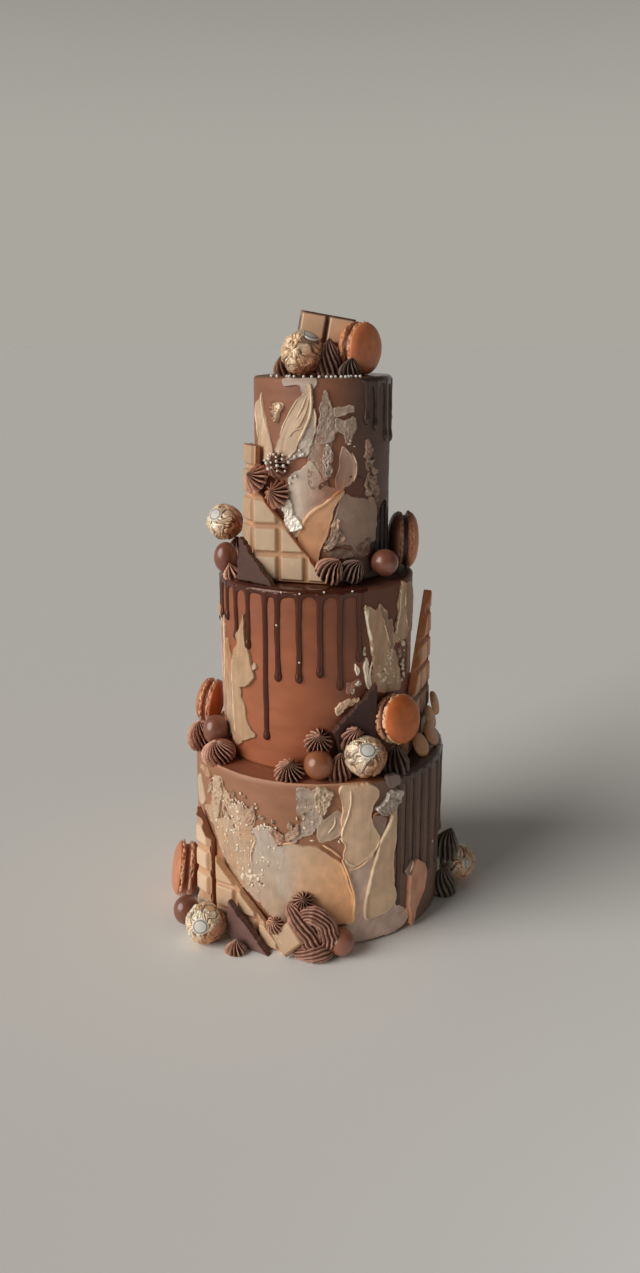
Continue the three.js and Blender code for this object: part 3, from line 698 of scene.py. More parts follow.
strokes = {
    "top": [
        stroke("cream", "blush", [(-58, 445), (-55.5, 438), (-54, 430), (-50, 420), (-46.5, 410),
            (-43.5, 402), (-45, 395), (-52, 391), (-60, 391), (-66, 397), (-66, 410), (-68, 420),
            (-73, 430), (-69, 437), (-62, 440)], sweep=78, thick=1.2, blend=0.35, furrow=0.3),
        stroke("lilac", "taupe", [(-33, 455.5), (-20, 456), (-5, 456), (-4, 452), (-6, 449), (-9, 447),
            (-10, 444), (-14, 443), (-17, 446.5), (-19, 450), (-26, 450.5), (-32, 450)], sweep=5,
            thick=0.7),
        stroke("taupe", "lilac", [(3, 447), (5, 442), (7, 437.5), (9.5, 433), (10.5, 428), (11, 423),
            (12.5, 417), (10, 414), (8, 408), (-5, 406), (-4.5, 415), (-3.5, 423), (-2, 431), (-1.5, 437),
            (0.5, 442)], sweep=88, thick=0.9, blend=0.6, crinkle=0.55, ragged=1.1),
        stroke("taupe", "blush", [(-11, 400), (-8, 406), (-5, 412), (2, 412), (8, 409), (8, 402), (7, 394),
            (7, 386), (4.5, 379), (0, 372), (-6, 370), (-11, 376), (-12, 390)], thick=0.8,
            blend=0.8, crinkle=0.4),
        stroke("shadeGrey", "taupe", [(9, 434), (17, 435), (25, 436), (26.5, 431), (21, 430), (13, 427),
            (9, 428)], sweep=0, crinkle=0.3, layer=1, ragged=0.9),
        stroke("shadeGrey", "taupe", [(10, 426), (20, 425), (26, 427), (28.5, 422), (27, 416), (24, 412),
            (23, 406), (19, 407), (18, 413), (12, 417)], sweep=60, crinkle=0.4, layer=1, ragged=1.0),
        stroke("stone", "blush", [(17, 405), (23, 400), (27, 392), (27.5, 384), (25.5, 377), (18, 372),
            (12, 370), (10, 378), (13.5, 390), (14, 398)], sweep=80, lipWay=0, lip=1.2, layer=1, blend=0.8,
            fade=205),
        stroke("pearl", "blush", [(-9, 394), (-4, 389), (0, 382), (6, 375), (11, 373), (16, 371),
            (11, 367.5), (5, 363), (-1, 359), (-6, 355), (-11, 350), (-16, 343.5), (-21, 333), (-25, 335),
            (-30, 348), (-31, 364), (-29, 376), (-26, 382), (-18, 387)], sweep=100, fade=-8,
            layer=1, thick=1.0, crinkle=0.15, ragged=0.9),
        stroke("lilac", "taupe", [(3, 405), (7, 403), (8, 393), (7, 384), (3, 381), (0, 388), (1, 397)],
            crinkle=1.3, sweep=85, layer=2, ragged=1.3),
        # a small dark patch: painted shade of a crevice
        stroke("cocoa", None, [(-4, 374), (-1, 377), (4, 378.5), (5.5, 376), (1, 373.5), (-2, 371.5)],
            crinkle=0.3, layer=2, thick=0.9),
        stroke("grey", "taupe", [(-6, 434), (-4.5, 430), (-4, 422), (-4.5, 415), (-6, 410), (-8, 404),
            (-10, 399), (-15, 396.5), (-20, 396), (-26, 394), (-30, 392), (-33, 396), (-28, 408),
            (-20, 415), (-12, 424), (-9, 432)], crinkle=0.35, sweep=65, layer=1, thick=1.0, ragged=1.0),
        stroke("cream", "sand", [(-8.5, 452), (-11, 452), (-13, 446), (-16, 444), (-20, 440), (-25, 433),
            (-30, 425.5), (-33, 419), (-35.5, 411), (-38, 405), (-40, 400), (-37, 396), (-30, 393),
            (-26, 396), (-22, 400), (-18, 406), (-14, 413), (-11, 420), (-8.5, 428), (-7.5, 436),
            (-7.5, 445)], sweep=60, bow=0.6, thick=1.8, furrow=0.35, lip=0.9, layer=2, blend=0.8, fade=235,
            ragged=0.7, lipWay=-20),
        stroke("cocoa", None, [(20, 381), (27, 382), (34, 379), (36, 371), (33, 364), (26, 364), (20, 367),
            (18, 374)], sweep=40, thick=0.8, layer=1),
        stroke("taupe", "mushroom", [(17, 368.5), (27, 365), (36, 364), (44, 361), (50, 357), (52, 340),
            (51, 328), (42, 326), (36, 322), (32, 318), (24, 326), (16, 327), (10, 325), (4, 322), (1, 323),
            (5, 333), (8, 343), (10, 351), (12.5, 360)], sweep=120, thick=1.0, layer=1, lipWay=180,
            blend=0.2, furrow=0.05),
        stroke("cocoa", "mushroom", [(2, 323), (10.6, 326.6), (15.7, 323), (22.8, 322.7), (34, 328),
            (43, 332), (43, 320), (36, 316), (19, 316), (5.7, 317)], sweep=10, crinkle=0.45, ragged=1.0,
            blend=0.9),
        # a dark sheet on the right side: partly dark ganache, partly painted shade
        stroke("darkShadedSide", None, [(43, 330), (49, 335), (56, 350), (63, 357), (72, 356), (77, 340),
            (77, 312), (65, 304), (54, 304), (46, 305), (40, 313)], thick=0.5, ragged=0.8),
        stroke("darkRun", None, [(50.2, 338), (51.6, 339), (52.6, 326), (52.6, 312), (51, 306), (49.6, 314),
            (49.8, 328)], thick=1.5, ragged=0.1, layer=1),
        stroke("darkRun", None, [(57.4, 352), (59, 352), (60, 334), (60, 318), (58.4, 311), (57, 320),
            (57, 338)], thick=1.5, ragged=0.1, layer=1),
        stroke("darkRun", None, [(65, 356), (67, 356), (68, 334), (67.6, 312), (66, 306), (64.8, 316),
            (64.8, 338)], thick=1.5, ragged=0.1, layer=1),
        stroke("amber", "amberShade", [(-20.5, 334), (-15.5, 344.5), (-11, 351), (-5.5, 356), (1, 360),
            (7, 364.5), (11.5, 368), (17, 371.5), (18, 369), (13, 363), (10, 357), (8.5, 350), (7, 343),
            (4, 333), (0, 327), (-2, 321), (-4, 312), (-10, 310), (-16, 317)], sweep=50, thick=1.3, layer=2,
            lipWay=130, lip=1.0, fade=205, streak=0.1, furrow=0.08),
        stroke("mushroom", "shadeTaupe", [(7.2, 344), (10.5, 350), (14.2, 348.5), (14.8, 339), (18.2, 334),
            (15.7, 329.6), (9, 326.7), (4, 323.6), (1, 325.2), (2.3, 330), (5.6, 335)], crinkle=1.3,
            sweep=70, layer=2, ragged=1.6, thick=0.7, blend=1.0, furrow=0.5),
    ],
    "middle": [
        stroke("cream", "blush", [(-76, 266), (-70, 255), (-67, 235), (-69, 210), (-67, 190), (-73, 172),
            (-80, 190), (-84, 220), (-84, 250)], sweep=88, furrow=0.35, blend=0.8, ragged=0.9),
        stroke("sand", "toffee", [(-66, 246), (-61, 236), (-59, 222), (-60, 205), (-58, 185), (-60, 166),
            (-66, 158), (-69, 175), (-68, 205), (-68, 230)], sweep=92, furrow=0.35, blend=0.8, ragged=0.9,
            layer=1),
        stroke("leftButter", "butter", [(-57, 212), (-50, 207), (-49, 200), (-48, 197), (-46, 192.5),
            (-45, 182), (-42, 175), (-38, 171), (-38.5, 168), (-42, 165), (-48, 161), (-50, 158),
            (-55, 154.5), (-59, 160), (-62, 170), (-62, 185), (-60, 200)], sweep=95, thick=1.2, layer=1,
            furrow=0.25, ragged=0.7),
        stroke("leftButter", "butter", [(-45.5, 272), (-45, 252), (-41, 238), (-39.5, 228), (-37.5, 221),
            (-40.5, 215), (-44.5, 210.5), (-50, 208), (-55, 209), (-58, 214), (-57.5, 227), (-56, 238),
            (-52, 246), (-53, 253), (-48.5, 262)], sweep=80, thick=1.7, layer=2, lip=1.0),
        stroke("midCream", "midStone", [(28.5, 283), (32, 280.5), (36, 278), (38, 282), (40, 278),
            (43, 275), (44, 268), (47, 268), (49, 258), (51, 248), (51, 240), (54, 230), (56, 222),
            (58, 212), (57, 203), (50, 204), (43, 206), (37, 207), (33, 213), (31, 222), (33, 232),
            (32.5, 243), (31.5, 253), (29.5, 260), (29.5, 271), (27.5, 279)], sweep=85, thick=1.3,
            ragged=1.3, lipWay=180, lip=1.3, furrow=0.14, blend=0.6),
        stroke("midStone", "mushroom", [(38, 281), (43, 276), (44, 268), (47, 268), (49, 258), (51, 247),
            (47, 242), (44, 252), (41, 264), (39, 272)], sweep=97, layer=1, ragged=0.8, lipWay=180),
        stroke("midStone", "blush", [(62, 292), (72, 292), (80, 284), (82, 262), (76, 244), (69, 238),
            (64, 250), (61, 268), (60, 282)], sweep=92, thick=0.9, ragged=0.9, blend=0.9, furrow=0.3),
        stroke("midCream", "midStone", [(58, 295), (62, 293), (62, 280), (62, 268), (64, 260), (66, 252),
            (63, 247), (58, 246), (51, 246), (50, 252), (51, 262), (54, 268), (53, 276), (55, 284)],
            sweep=95, thick=1.2, ragged=1.2, layer=1, lipWay=0, lip=1.1),
        stroke("blush", None, [(70, 252), (73, 236), (71, 214), (67, 216), (68, 236)], sweep=88),
        stroke("rimPale", None, [(28.5, 240), (30.2, 236), (30.2, 224), (31.8, 214), (30.5, 212),
            (28.3, 222), (27.3, 232)], thick=1.6, ragged=0.3, layer=1),
        stroke("rimPale", None, [(22, 236), (24.7, 231), (24.9, 226), (23.3, 225), (22.1, 231)],
            ragged=0.4),
        stroke("blush", None, [(17, 220), (21, 220.5), (25, 222), (25.5, 217.5), (20.5, 216), (19.5, 210),
            (17, 211)], crinkle=0.5, ragged=0.7),
        stroke("rimCream", "toffee", [(10, 198), (13, 203), (19, 206), (25, 207), (22, 202.5), (16, 200),
            (14, 195), (11, 193)], crinkle=0.6, sweep=20, thick=1.4, ragged=1.0),
        stroke("cream", None, [(-40, 230), (-38, 233), (-36.4, 231), (-36.6, 228), (-38.5, 226),
            (-40, 226.5)], layer=2, ragged=0.2, sweep=20),
    ],
    "bottom": [
        stroke("sand", "butter", [(-57, 108), (-54, 130), (-49, 137), (-46.5, 136), (-45.3, 129),
            (-42.3, 125), (-41, 118), (-37, 119), (-34.5, 123), (-31.8, 116.6), (-29, 120), (-27.8, 112),
            (-29, 102), (-30, 98), (-27.5, 92), (-27, 80), (-28, 66), (-29, 56), (-33, 46), (-38, 45),
            (-44, 58), (-50, 74), (-56, 90), (-63, 101)], sweep=96, thick=0.9, ragged=1.4, furrow=0.2,
            crinkle=0.22, blend=0.8),
        stroke("cream", None, [(-72, 100), (-73, 118), (-68, 126), (-65.3, 118), (-62, 106), (-66, 98)],
            sweep=92, layer=1),
        stroke("butter", "blush", [(-67, 137), (-61, 139), (-56.5, 136), (-56, 131.5), (-59, 131),
            (-64, 133)], crinkle=0.6, ragged=1.0),
        stroke("cream", "sand", [(-52.5, 130), (-49.5, 136), (-47, 134), (-46, 124), (-47, 114),
            (-48.5, 104), (-51, 99), (-52.5, 110)], crinkle=1.1, layer=2, ragged=1.3),
        stroke("crack", None, [(-43.8, 121), (-42.6, 119), (-44.6, 110), (-46.6, 101), (-47.6, 102),
            (-46, 111)], thick=0.5, layer=2, ragged=0.4),
        stroke("crack", None, [(-45, 112), (-43.4, 109), (-41, 103), (-42.2, 102.4), (-44.4, 107)],
            thick=0.5, layer=2, ragged=0.3),
        stroke("sand", "blush", [(-36.5, 117), (-34.5, 123.5), (-32, 117), (-29, 121), (-27.6, 112),
            (-29.5, 104), (-33, 106), (-36, 111)], crinkle=1.0, layer=2, ragged=1.7, thick=0.7),
        stroke("grey", "sand", [(-29.4, 101.4), (-26, 105.5), (-22.8, 104), (-21, 103.5), (-19, 101.7),
            (-17.4, 97), (-17.9, 90), (-14, 88), (-10, 78), (-8, 60), (-7, 40), (-10, 24), (-18, 22),
            (-24, 30), (-29, 37), (-34, 46), (-32, 56), (-30.7, 64), (-30, 73), (-28, 85), (-28, 92)],
            sweep=95, thick=1.0, layer=1, ragged=1.1, blend=0.45, fade=-75, crinkle=0.12),
        stroke("sand", "blush", [(-21, 104), (-19.6, 106.5), (-17.5, 97), (-15, 99.5), (-13, 102),
            (-10, 107), (-8.5, 110), (-8, 103), (-11, 97), (-14, 93), (-18, 93)], crinkle=1.0, layer=1,
            ragged=1.3, blend=1.0),
        stroke("grey", "taupe", [(-8.8, 142), (-2.8, 142.5), (0.3, 142), (0.7, 132), (1.5, 119), (1, 108),
            (-2.9, 101.6), (-7, 98), (-10, 94), (-13, 92), (-10, 99), (-8.6, 107), (-7, 116), (-8.5, 121.5),
            (-9.2, 131.6)], sweep=4, thick=0.8, crinkle=0.35, furrow=0.4, ragged=1.5, blend=0.6),
        stroke("cream", "sand", [(-1, 142), (3, 143), (6, 140), (5.5, 132), (4, 124), (1.5, 118),
            (-0.5, 124), (-1.5, 133)], crinkle=1.0, layer=2, ragged=1.0),
        stroke("sand", "taupe", [(0, 112), (5, 119), (9, 123), (11, 112), (10, 102), (6, 97), (1, 95),
            (-1, 103)], sweep=60, layer=1),
        stroke("shadeLilac", "taupe", [(12, 70), (17, 73), (24, 80), (26, 70), (24, 55), (22, 42), (21, 30),
            (24, 26), (32, 25), (36, 30), (41, 22), (45, 12), (40, 3), (25, 1.5), (14, 2), (8, 6), (9, 16),
            (15, 22), (15.5, 40), (13.5, 55)], sweep=60, blend=0.35, thick=0.9, furrow=0.12),
        stroke("sandCaramel", "caramel", [(-14.5, 93), (-8, 93), (0, 91), (5, 85), (10, 77), (12, 68),
            (13.5, 58), (15, 47), (15.6, 36), (15.6, 25), (11, 21), (2, 22), (-6, 28), (-13, 38),
            (-17.5, 50), (-17.5, 62), (-16, 78)], sweep=72, fade=-20, streak=0.05, thick=1.7, lip=1.2,
            lipWay=5, layer=2, furrow=0.05, thinWay=180),
        stroke("shadeTaupe", "shadeCream", [(9, 143.5), (16, 144), (23, 143), (26.5, 136), (26, 131),
            (24, 126), (23.5, 112), (25.5, 102), (27.5, 94), (26, 86), (23, 80), (20.5, 76), (17, 72),
            (14, 70), (11, 71), (10.3, 80), (11.3, 91), (9.5, 97), (10, 106), (9, 115), (10, 125),
            (9, 135)], sweep=88, thick=1.7, lip=1.0, layer=3, blend=0.4, furrow=0.08),
        stroke("shadeTaupe", "shadeCream", [(35.5, 121), (33, 112), (31, 100), (29, 94), (27.3, 92),
            (25.5, 75), (23.5, 63), (22, 50), (20.8, 40), (20.3, 31), (20.8, 23.5), (24, 22.5), (28, 24.5),
            (32.5, 26), (35, 29), (36.5, 36), (35.5, 47), (35, 66), (35.3, 81), (36, 95)], sweep=96,
            thick=1.5, lip=0.9, layer=2, blend=0.4, furrow=0.08),
        stroke("mushroom", None, [(23.5, 113), (28, 114), (31, 109), (29, 99), (27, 95), (25, 101)],
            layer=3, sweep=60),
        stroke("ash", "cocoa", [(30, 147), (36, 146.5), (37.3, 138), (31.3, 136)], thick=2.2, layer=2,
            ragged=0.4),
        stroke("mushroom", None, [(42, 58), (46.5, 63), (47, 58), (43.5, 51), (41.5, 54)], thick=2.2,
            layer=6),
        stroke("shadeRose", "toffee", [(48.5, 63), (52, 58), (55, 53), (56.5, 42), (55, 31), (51.5, 22),
            (48, 14), (46.5, 3), (45, 3), (45, 11), (43.5, 22), (43.6, 35), (43.8, 45), (45, 54), (46, 59)],
            sweep=85, thick=2.4, layer=6, blend=0.3),
    ],
}
raisedLines = {
    "top": [
        (2.4, 1.6, "rimCaramel", [(-20.5, 334), (-15.5, 344.5), (-11, 351), (-5.5, 356), (1, 360),
            (8, 365)]),
        (2.4, 1.6, "toffee", [(6, 364), (12, 368.5), (18.5, 372.5)]),
        (1.8, 2.2, "rimCream", [(-9, 449), (-8.2, 438), (-9.5, 428), (-13.5, 418), (-19, 408)], 1.5),
        (1.5, 2.3, "cream", [(-10, 441), (-12.5, 431), (-17.5, 421.5), (-24, 415)]),
        (1.2, 2.2, "rimCream", [(-12, 443), (-15.5, 434), (-20.5, 424.5)]),
        (1.5, 2.2, "cream", [(-26.5, 411), (-22, 416.5), (-14, 419.5)]),
        (1.3, 2.0, "rimCream", [(-19, 441), (-25, 431.5), (-31, 421), (-35, 411)]),
        (1.5, 1.5, "rimCream", [(-6.3, 434), (-5, 427), (-5.5, 419)]),
        (1.4, 1.3, "rimCream", [(-57.5, 443), (-56.5, 434), (-53, 423), (-48, 411)]),
        (1.4, 1.3, "rimCream", [(-71, 430), (-66, 420), (-64, 408)]),
        (1.8, 1.4, "shadeCream", [(24, 399.5), (27.3, 392), (27.5, 384), (25.5, 377)], 1.5),
    ],
    "middle": [
        (2.3, 0.9, "rimPale", [(30, 281), (29, 272), (30.4, 262), (32.2, 252), (33, 240)], 1.8),
        (2.6, 0.9, "rimPale", [(28, 283), (28.4, 276), (29.3, 270)], 1.9, 2),
        (1.6, 0.9, "rimPale", [(33.4, 236), (31.4, 228), (31.6, 219), (33.4, 212)], 1.2, 2),
        (1.2, 0.9, "shadeCream", [(39, 273), (42, 262), (45, 250), (47, 242)]),
        (1.5, 0.9, "rimCream", [(-71, 258), (-70, 235), (-72, 205)]),
        (1.6, 0.9, "rimCream", [(-57, 235), (-59, 215), (-58, 190), (-57, 165)]),
        (4.0, 0.9, "butter", [(-86, 270), (-83, 262), (-79, 258)], 3.2, 6),
        (1.6, 0.9, "rimPale", [(57, 292), (55.5, 282), (55.5, 272), (53, 262), (51.5, 252)]),
        (1.7, 0.9, "rimPale", [(62.6, 290), (61.6, 278), (62.4, 266), (65.4, 254)]),
    ],
    "bottom": [
        (1.5, 2.2, "rimCream", [(13.5, 141), (13.6, 130), (12.5, 119), (10.5, 108), (9.6, 99)]),
        (1.3, 1.2, "rimCream", [(7, 118), (6.8, 111), (3.8, 103)]),
        (2.6, 2.2, "rimCream", [(11.3, 80), (13, 75.5), (16.5, 73)]),
        (2.0, 2.0, "shadeCream", [(11, 73), (14, 70.3), (18, 72), (22, 78), (25, 85), (27.2, 93)], 1.5),
        (2.8, 1.9, "rimCream", [(33.5, 115), (32.5, 106), (29.5, 97), (27.4, 90), (26, 80), (24, 66),
            (22.4, 52), (21, 41), (20.5, 32), (20.8, 24), (23.5, 22.5)], 1.9),
        (1.8, 1.7, "shadeCream", [(21.5, 22.5), (26, 23.5), (31.5, 25.5), (35, 29.5)]),
        (1.3, 0.7, "shadeTaupe", [(37, 17), (41, 17), (44, 20), (46, 25)]),
        (2.2, 1.0, "rimCaramel", [(2, 93), (6, 88), (9.8, 81)]),
        (2.2, 2.4, "rimCaramel", [(10, 80), (12, 70), (13.6, 60), (15, 50), (15.6, 40), (15.3, 30),
            (15, 23), (11, 21.5)], 1.6),
        (1.8, 1.6, "toffee", [(23.5, 113), (24.6, 116), (28, 117), (31, 115)]),
        (1.7, 1.4, "rimCaramel", [(-18.6, 91.5), (-14.5, 93), (-9.8, 94.6)]),
        (1.3, 1.2, "crack", [(-18.2, 94), (-14.5, 95.6), (-10.5, 97)]),
        (1.7, 1.3, "rimCream", [(-28, 91), (-29.5, 84), (-30.4, 77), (-30, 69)]),
        (1.4, 1.3, "pearl", [(-22.5, 103), (-20, 98), (-18, 92)]),
        (1.4, 4.2, "shadeTaupe", [(43.2, 54), (45.5, 62)]),
    ],
}
# the side that the photo doesn't show: strokes of the front laid again, with torn edges of their own;
# each row is (number of the stroke, degrees round the tier, millimetres up, seed)
farStrokes = {
    "top": [(0, -150, 4, 400), (2, -150, 4, 413), (7, -150, 4, 426), (10, -150, 4, 439), (11, -150, 4, 452)],
    "middle": [(2, -72, -6, 400), (3, -72, -6, 413), (4, 82, -8, 474), (6, 84, -8, 476), (7, 88, -8, 477)],
    "bottom": [(8, -138, 2, 400), (11, -138, 2, 413), (14, -138, 2, 426), (15, -138, 2, 439)],
}


def leafOutline(tier, angle, z, wide, tall, turn):
    # an ellipse that narrows to its top, turned, given as angles and heights
    t = np.linspace(0, 2 * np.pi, 12, endpoint=False)
    x = wide / 2 * np.cos(t) * (1 - 0.3 * np.clip(np.sin(t), 0, 1))
    y = tall / 2 * np.sin(t)
    c, s = np.cos(np.radians(turn)), np.sin(np.radians(turn))
    return np.stack([angle + np.degrees((x * c - y * s) / tier["radius"]), z + x * s + y * c], -1)


# crumbled flakes of a stroke: (angle, height, width, length, turn)
flakes = {
    "top": [(39.5, 405, 3.0, 7, -8), (39, 397, 2.2, 8, 4), (42.5, 399, 3.4, 6, -30), (40, 389, 2.6, 7, 0),
        (44, 391, 4.0, 6, -50), (47, 384, 4.2, 5, 30), (41, 381, 3.0, 6, 10), (38.5, 375, 2.6, 7, 0),
        (44.5, 376, 4.2, 7, -20), (49, 377, 3.0, 6, 10), (47.5, 369, 4.4, 5, 40), (41, 367, 3.4, 5, 0),
        (51.5, 370, 2.6, 7, 0), (45, 362, 4.4, 4, 0), (50, 363, 2.6, 4, 20)],
    "middle": [(27.5, 246, 1.6, 5, 0), (20, 214, 3.2, 4, 20), (23.5, 219, 3.6, 3, 0), (56, 236, 2.2, 6, 0),
        (60, 243, 2.6, 5, 20)],
    "bottom": [(-25, 113, 3, 2.6, 0), (-20, 110, 2.4, 3, 20), (-12, 110, 2.4, 4, 10),
        (-6, 121, 3.4, 2.4, 0), (-40, 128, 2.4, 4, 10), (-55, 126, 2.2, 7, 0), (-53, 117, 2.2, 6, 10),
        (-57, 121, 1.8, 6, 0), (-33, 127, 2.4, 2.4, 0)],
}
flakeTones = {"top": "stone", "middle": "rimPale", "bottom": "sand"}
for name, tier in (("top", topTier), ("middle", middleTier), ("bottom", bottomTier)):
    parts = [knifeStroke(tier, laid, 200 + 13 * i) for i, laid in enumerate(strokes[name])]
    parts += [bead(tier, 600 + i, *raised) for i, raised in enumerate(raisedLines[name])]
    for i, (angle, z, wide, tall, turn) in enumerate(flakes[name]):
        outline = leafOutline(tier, angle, z, wide * 1.5, tall * 1.45, turn)
        flake = stroke(flakeTones[name], "mushroom", outline, blend=0.7, crinkle=0.9, ragged=1.5, thick=0.9,
                       step=0.6, layer=i % 3)
        parts.append(knifeStroke(tier, flake, 1500 + 7 * i))
    for number, by, up, seed in farStrokes[name]:
        laid = strokes[name][number]
        outline = [(angle + by, z + up) for angle, z in laid["outline"]]
        parts.append(knifeStroke(tier, {**laid, "outline": outline, "thinWay": None}, seed))
    makePiece(f"strokes_{name}", parts, knifed, [f"tier_{name}"])
print("knife strokes are spread")

# Silver leaf: small crinkled sheets made as the strokes are
leaf = {"crinkle": 0.85, "thick": 2.0, "layer": 4, "ragged": 0.6, "step": 0.6, "sweep": 50}
leaves = [
    (topTier, stroke("rimCream", "crack", [
        (-43, 437.5), (-33, 436), (-35.5, 429), (-39, 422), (-42.5, 424), (-43.5, 430)],
        fade=180, streak=0.3)),
    (topTier, stroke("leaf", "grey", [
        (-29, 363), (-25, 362), (-22.5, 353), (-16, 345), (-15.5, 341.5), (-20, 338.5), (-28, 337),
        (-32.5, 341), (-31.5, 350), (-33.5, 358)], blend=0.4)),
    (bottomTier, stroke("leaf", "mushroom", [
        (31, 132), (34, 133.5), (39, 131), (37.5, 124), (34.5, 116), (30, 113), (26, 117), (25, 121),
        (28, 124), (30, 128)], blend=0.8)),
]
leaves = [knifeStroke(tier, {**laid, **leaf}, 700 + 7 * i) for i, (tier, laid) in enumerate(leaves)]
makePiece("silver_leaf", leaves, silver)
print("silver leaf is laid")

# Chocolate bars: height = slab + rise on a plateau inside each square; the long sides are uneven broken walls
bars = {
    # top: walls and grooves darker still, painted shade
    "top": {"tops": [(0, 67.2), (44.8, 67.2)], "spot": {"x": -25.5, "y": 3, "z": 440.5, "face": 2,
        "lean": -3, "roll": -10}, "low": light(98, 62, 44), "wall": light(82, 52, 40), "bevel": 1.5,
        "face": light(222, 182, 146)},
    "middle_triangle": {"tops": [(0, 74), (3, 74), (63, 0.6)], "wall": light(220, 150, 104),
        "face": light(204, 175, 145), "low": light(190, 145, 110),
        "spot": flat(topTier, -15, 56, -41.5, 297.5, lean=-1)},
    "middle_tall": {"tops": [(0, 107), (22.4, 107)], "spot": flat(topTier, -66, 62, -11.2, 296.3, lean=-2),
        "face": light(192, 158, 126)},
    "low_right": {"tops": [(0, 11), (76, 129)], "wall": light(246, 166, 116), "paintedShadow": 0.5,
        "face": light(222, 158, 114), "low": light(176, 112, 76),
        "spot": flat(middleTier, 71, 81.5, -26, 144.3)},
    "base_tall": {"tops": [(0, 99), (22.4, 76)], "wall": light(160, 104, 72), "notch": 2.2, "bevel": 3.6,
        "crown": 1.0, "spot": flat(bottomTier, -52, 110, -24.5, 0.3, lean=-0.6)},
    "base_triangle": {"tops": [(0, 67), (74, 0.6)], "wall": light(232, 184, 142),
        "face": light(214, 180, 147), "spot": flat(bottomTier, -34, 109.5, -28, 0.3)},
}
barHabit = {
    "slab": 4.4, "rise": 2.6, "groove": 1.0, "bevel": 2.2, "crown": 0.5, "edge": 0.9, "edgeDrop": 1.1,
    "dents": 0.12, "notch": 1.2, "notchDeep": 1.6,
    "step": 0.62, "paintedShadow": 0, "paintedShadowBelow": (42, 58), "face": light(226, 194, 162), "low": light(204, 156, 118),
    "wall": light(166, 108, 72),
}


def chocolateBar(bar, seed):
    # a plateau is 1 inside a square and falls to 0 over the bevel; the rim is rounded off by
    # 1 - sqrt(1 - away^2), away = 1 - distance / edge; the long sides hang down to the back, chipped
    given = {**barHabit, **bar}
    tops, step = np.array(given["tops"], float), given["step"]
    wide, most = tops[-1, 0], tops[:, 1].max()
    close = np.array([0, 0.2, 0.5, 0.9])
    x = np.concatenate([close, np.arange(1.4, wide - 1.3, step), wide - close[::-1]])
    share = np.concatenate([close / most, np.arange(1.4, most - 1.3, step) / most, 1 - close[::-1] / most])
    tall = np.interp(x, *tops.T)[:, None]
    xs, ys = x[:, None] + 0 * share, tall * share
    slope = (tops[-1, 1] - tops[-2, 1]) / (tops[-1, 0] - tops[-2, 0])
    toTop = (tall - ys) / np.hypot(1, slope)
    toEdge = np.minimum(np.minimum(xs, wide - xs), np.minimum(ys, toTop))

    def plateau(value):
        out = np.abs((value / squarePitch) % 1 - 0.5) * squarePitch
        return smooth(0, given["bevel"], squarePitch / 2 - given["groove"] - out)

    raised = plateau(xs) * plateau(ys)
    at = np.stack([xs, ys, 0 * xs + seed * 50], -1)
    crown = 1 - (((xs / squarePitch) % 1 - 0.5) ** 2 + ((ys / squarePitch) % 1 - 0.5) ** 2) * 2
    z = given["slab"] + raised * (given["rise"] + given["crown"] * crown)
    z = z + given["dents"] * cloudy(at, 8, seed)
    away = 1 - np.clip(toEdge / given["edge"], 0, 1)
    z = z - given["edgeDrop"] * (1 - np.sqrt(np.clip(1 - away ** 2, 0, 1)))
    notch = given["notch"] * (1 - plateau(ys)) * smooth(0, 4, np.minimum(ys, tall - ys))
    inward = np.exp(-xs / given["notchDeep"]) - np.exp(-(wide - xs) / given["notchDeep"])
    front = np.stack([xs + notch * inward, ys, z], -1)
    steps = np.array([0.82, 0.6, 0.4, 0.2, 0.0])
    walls = []
    for end, sign, order in ((front[:, -1], 1, steps), (front[:, 0], -1, steps[::-1])):
        wall = np.repeat(end[:, None], len(order), 1)
        wall[..., 2] = end[:, 2:3] * order
        chips = grain(np.stack([wall[..., 0], wall[..., 2] * 2, 0 * wall[..., 0] + seed], -1), 2.2, seed + 9)
        wall[..., 1] += sign * (0.45 * chips - 0.2) * (order > 0) * np.minimum(1, tall / 6)
        walls.append(wall)
    rings = np.concatenate([front, *walls], 1)
    # the groove bottoms (low) and walls take their own tones: partly the bar's backing and cut edges, partly
    # painted light and shade
    tone = mixTones(given["low"], given["face"], raised)
    tone = mixTones(given["wall"], tone, smooth(0.1, 0.9, toEdge))
    wallTones = [uneven(given["wall"], 0.18, wall, 3, seed + 4 + i, 1) for i, wall in enumerate(walls)]
    tones = np.concatenate([uneven(tone, 0.05, at, 12, seed + 3), *wallTones], 1)
    # painted shadow: the lower end of a bar darker, where the sweets in front shade it
    tones = tones * (1 - given["paintedShadow"] * (1 - smooth(*given["paintedShadowBelow"], rings[..., 1])))[..., None]
    return shell(placed(rings, given["spot"]), tones)


for i, (name, bar) in enumerate(bars.items()):
    makePiece(f"chocolate_{name}", [chocolateBar(bar, 30 + i)], blond, [f"bar_{name}"])
single = {
    "tops": [(0, squarePitch), (squarePitch, squarePitch)], "wall": light(170, 126, 88), "groove": 0.2,
    "bevel": 1.6, "face": light(188, 154, 122), "spot": {"x": -25, "y": -124, "z": 1, "face": -30,
    "lean": -16, "roll": 46},
}
makePiece("chocolate_square", [chocolateBar(single, 44)], blond, ["square_base"])
print("bars are broken and set")

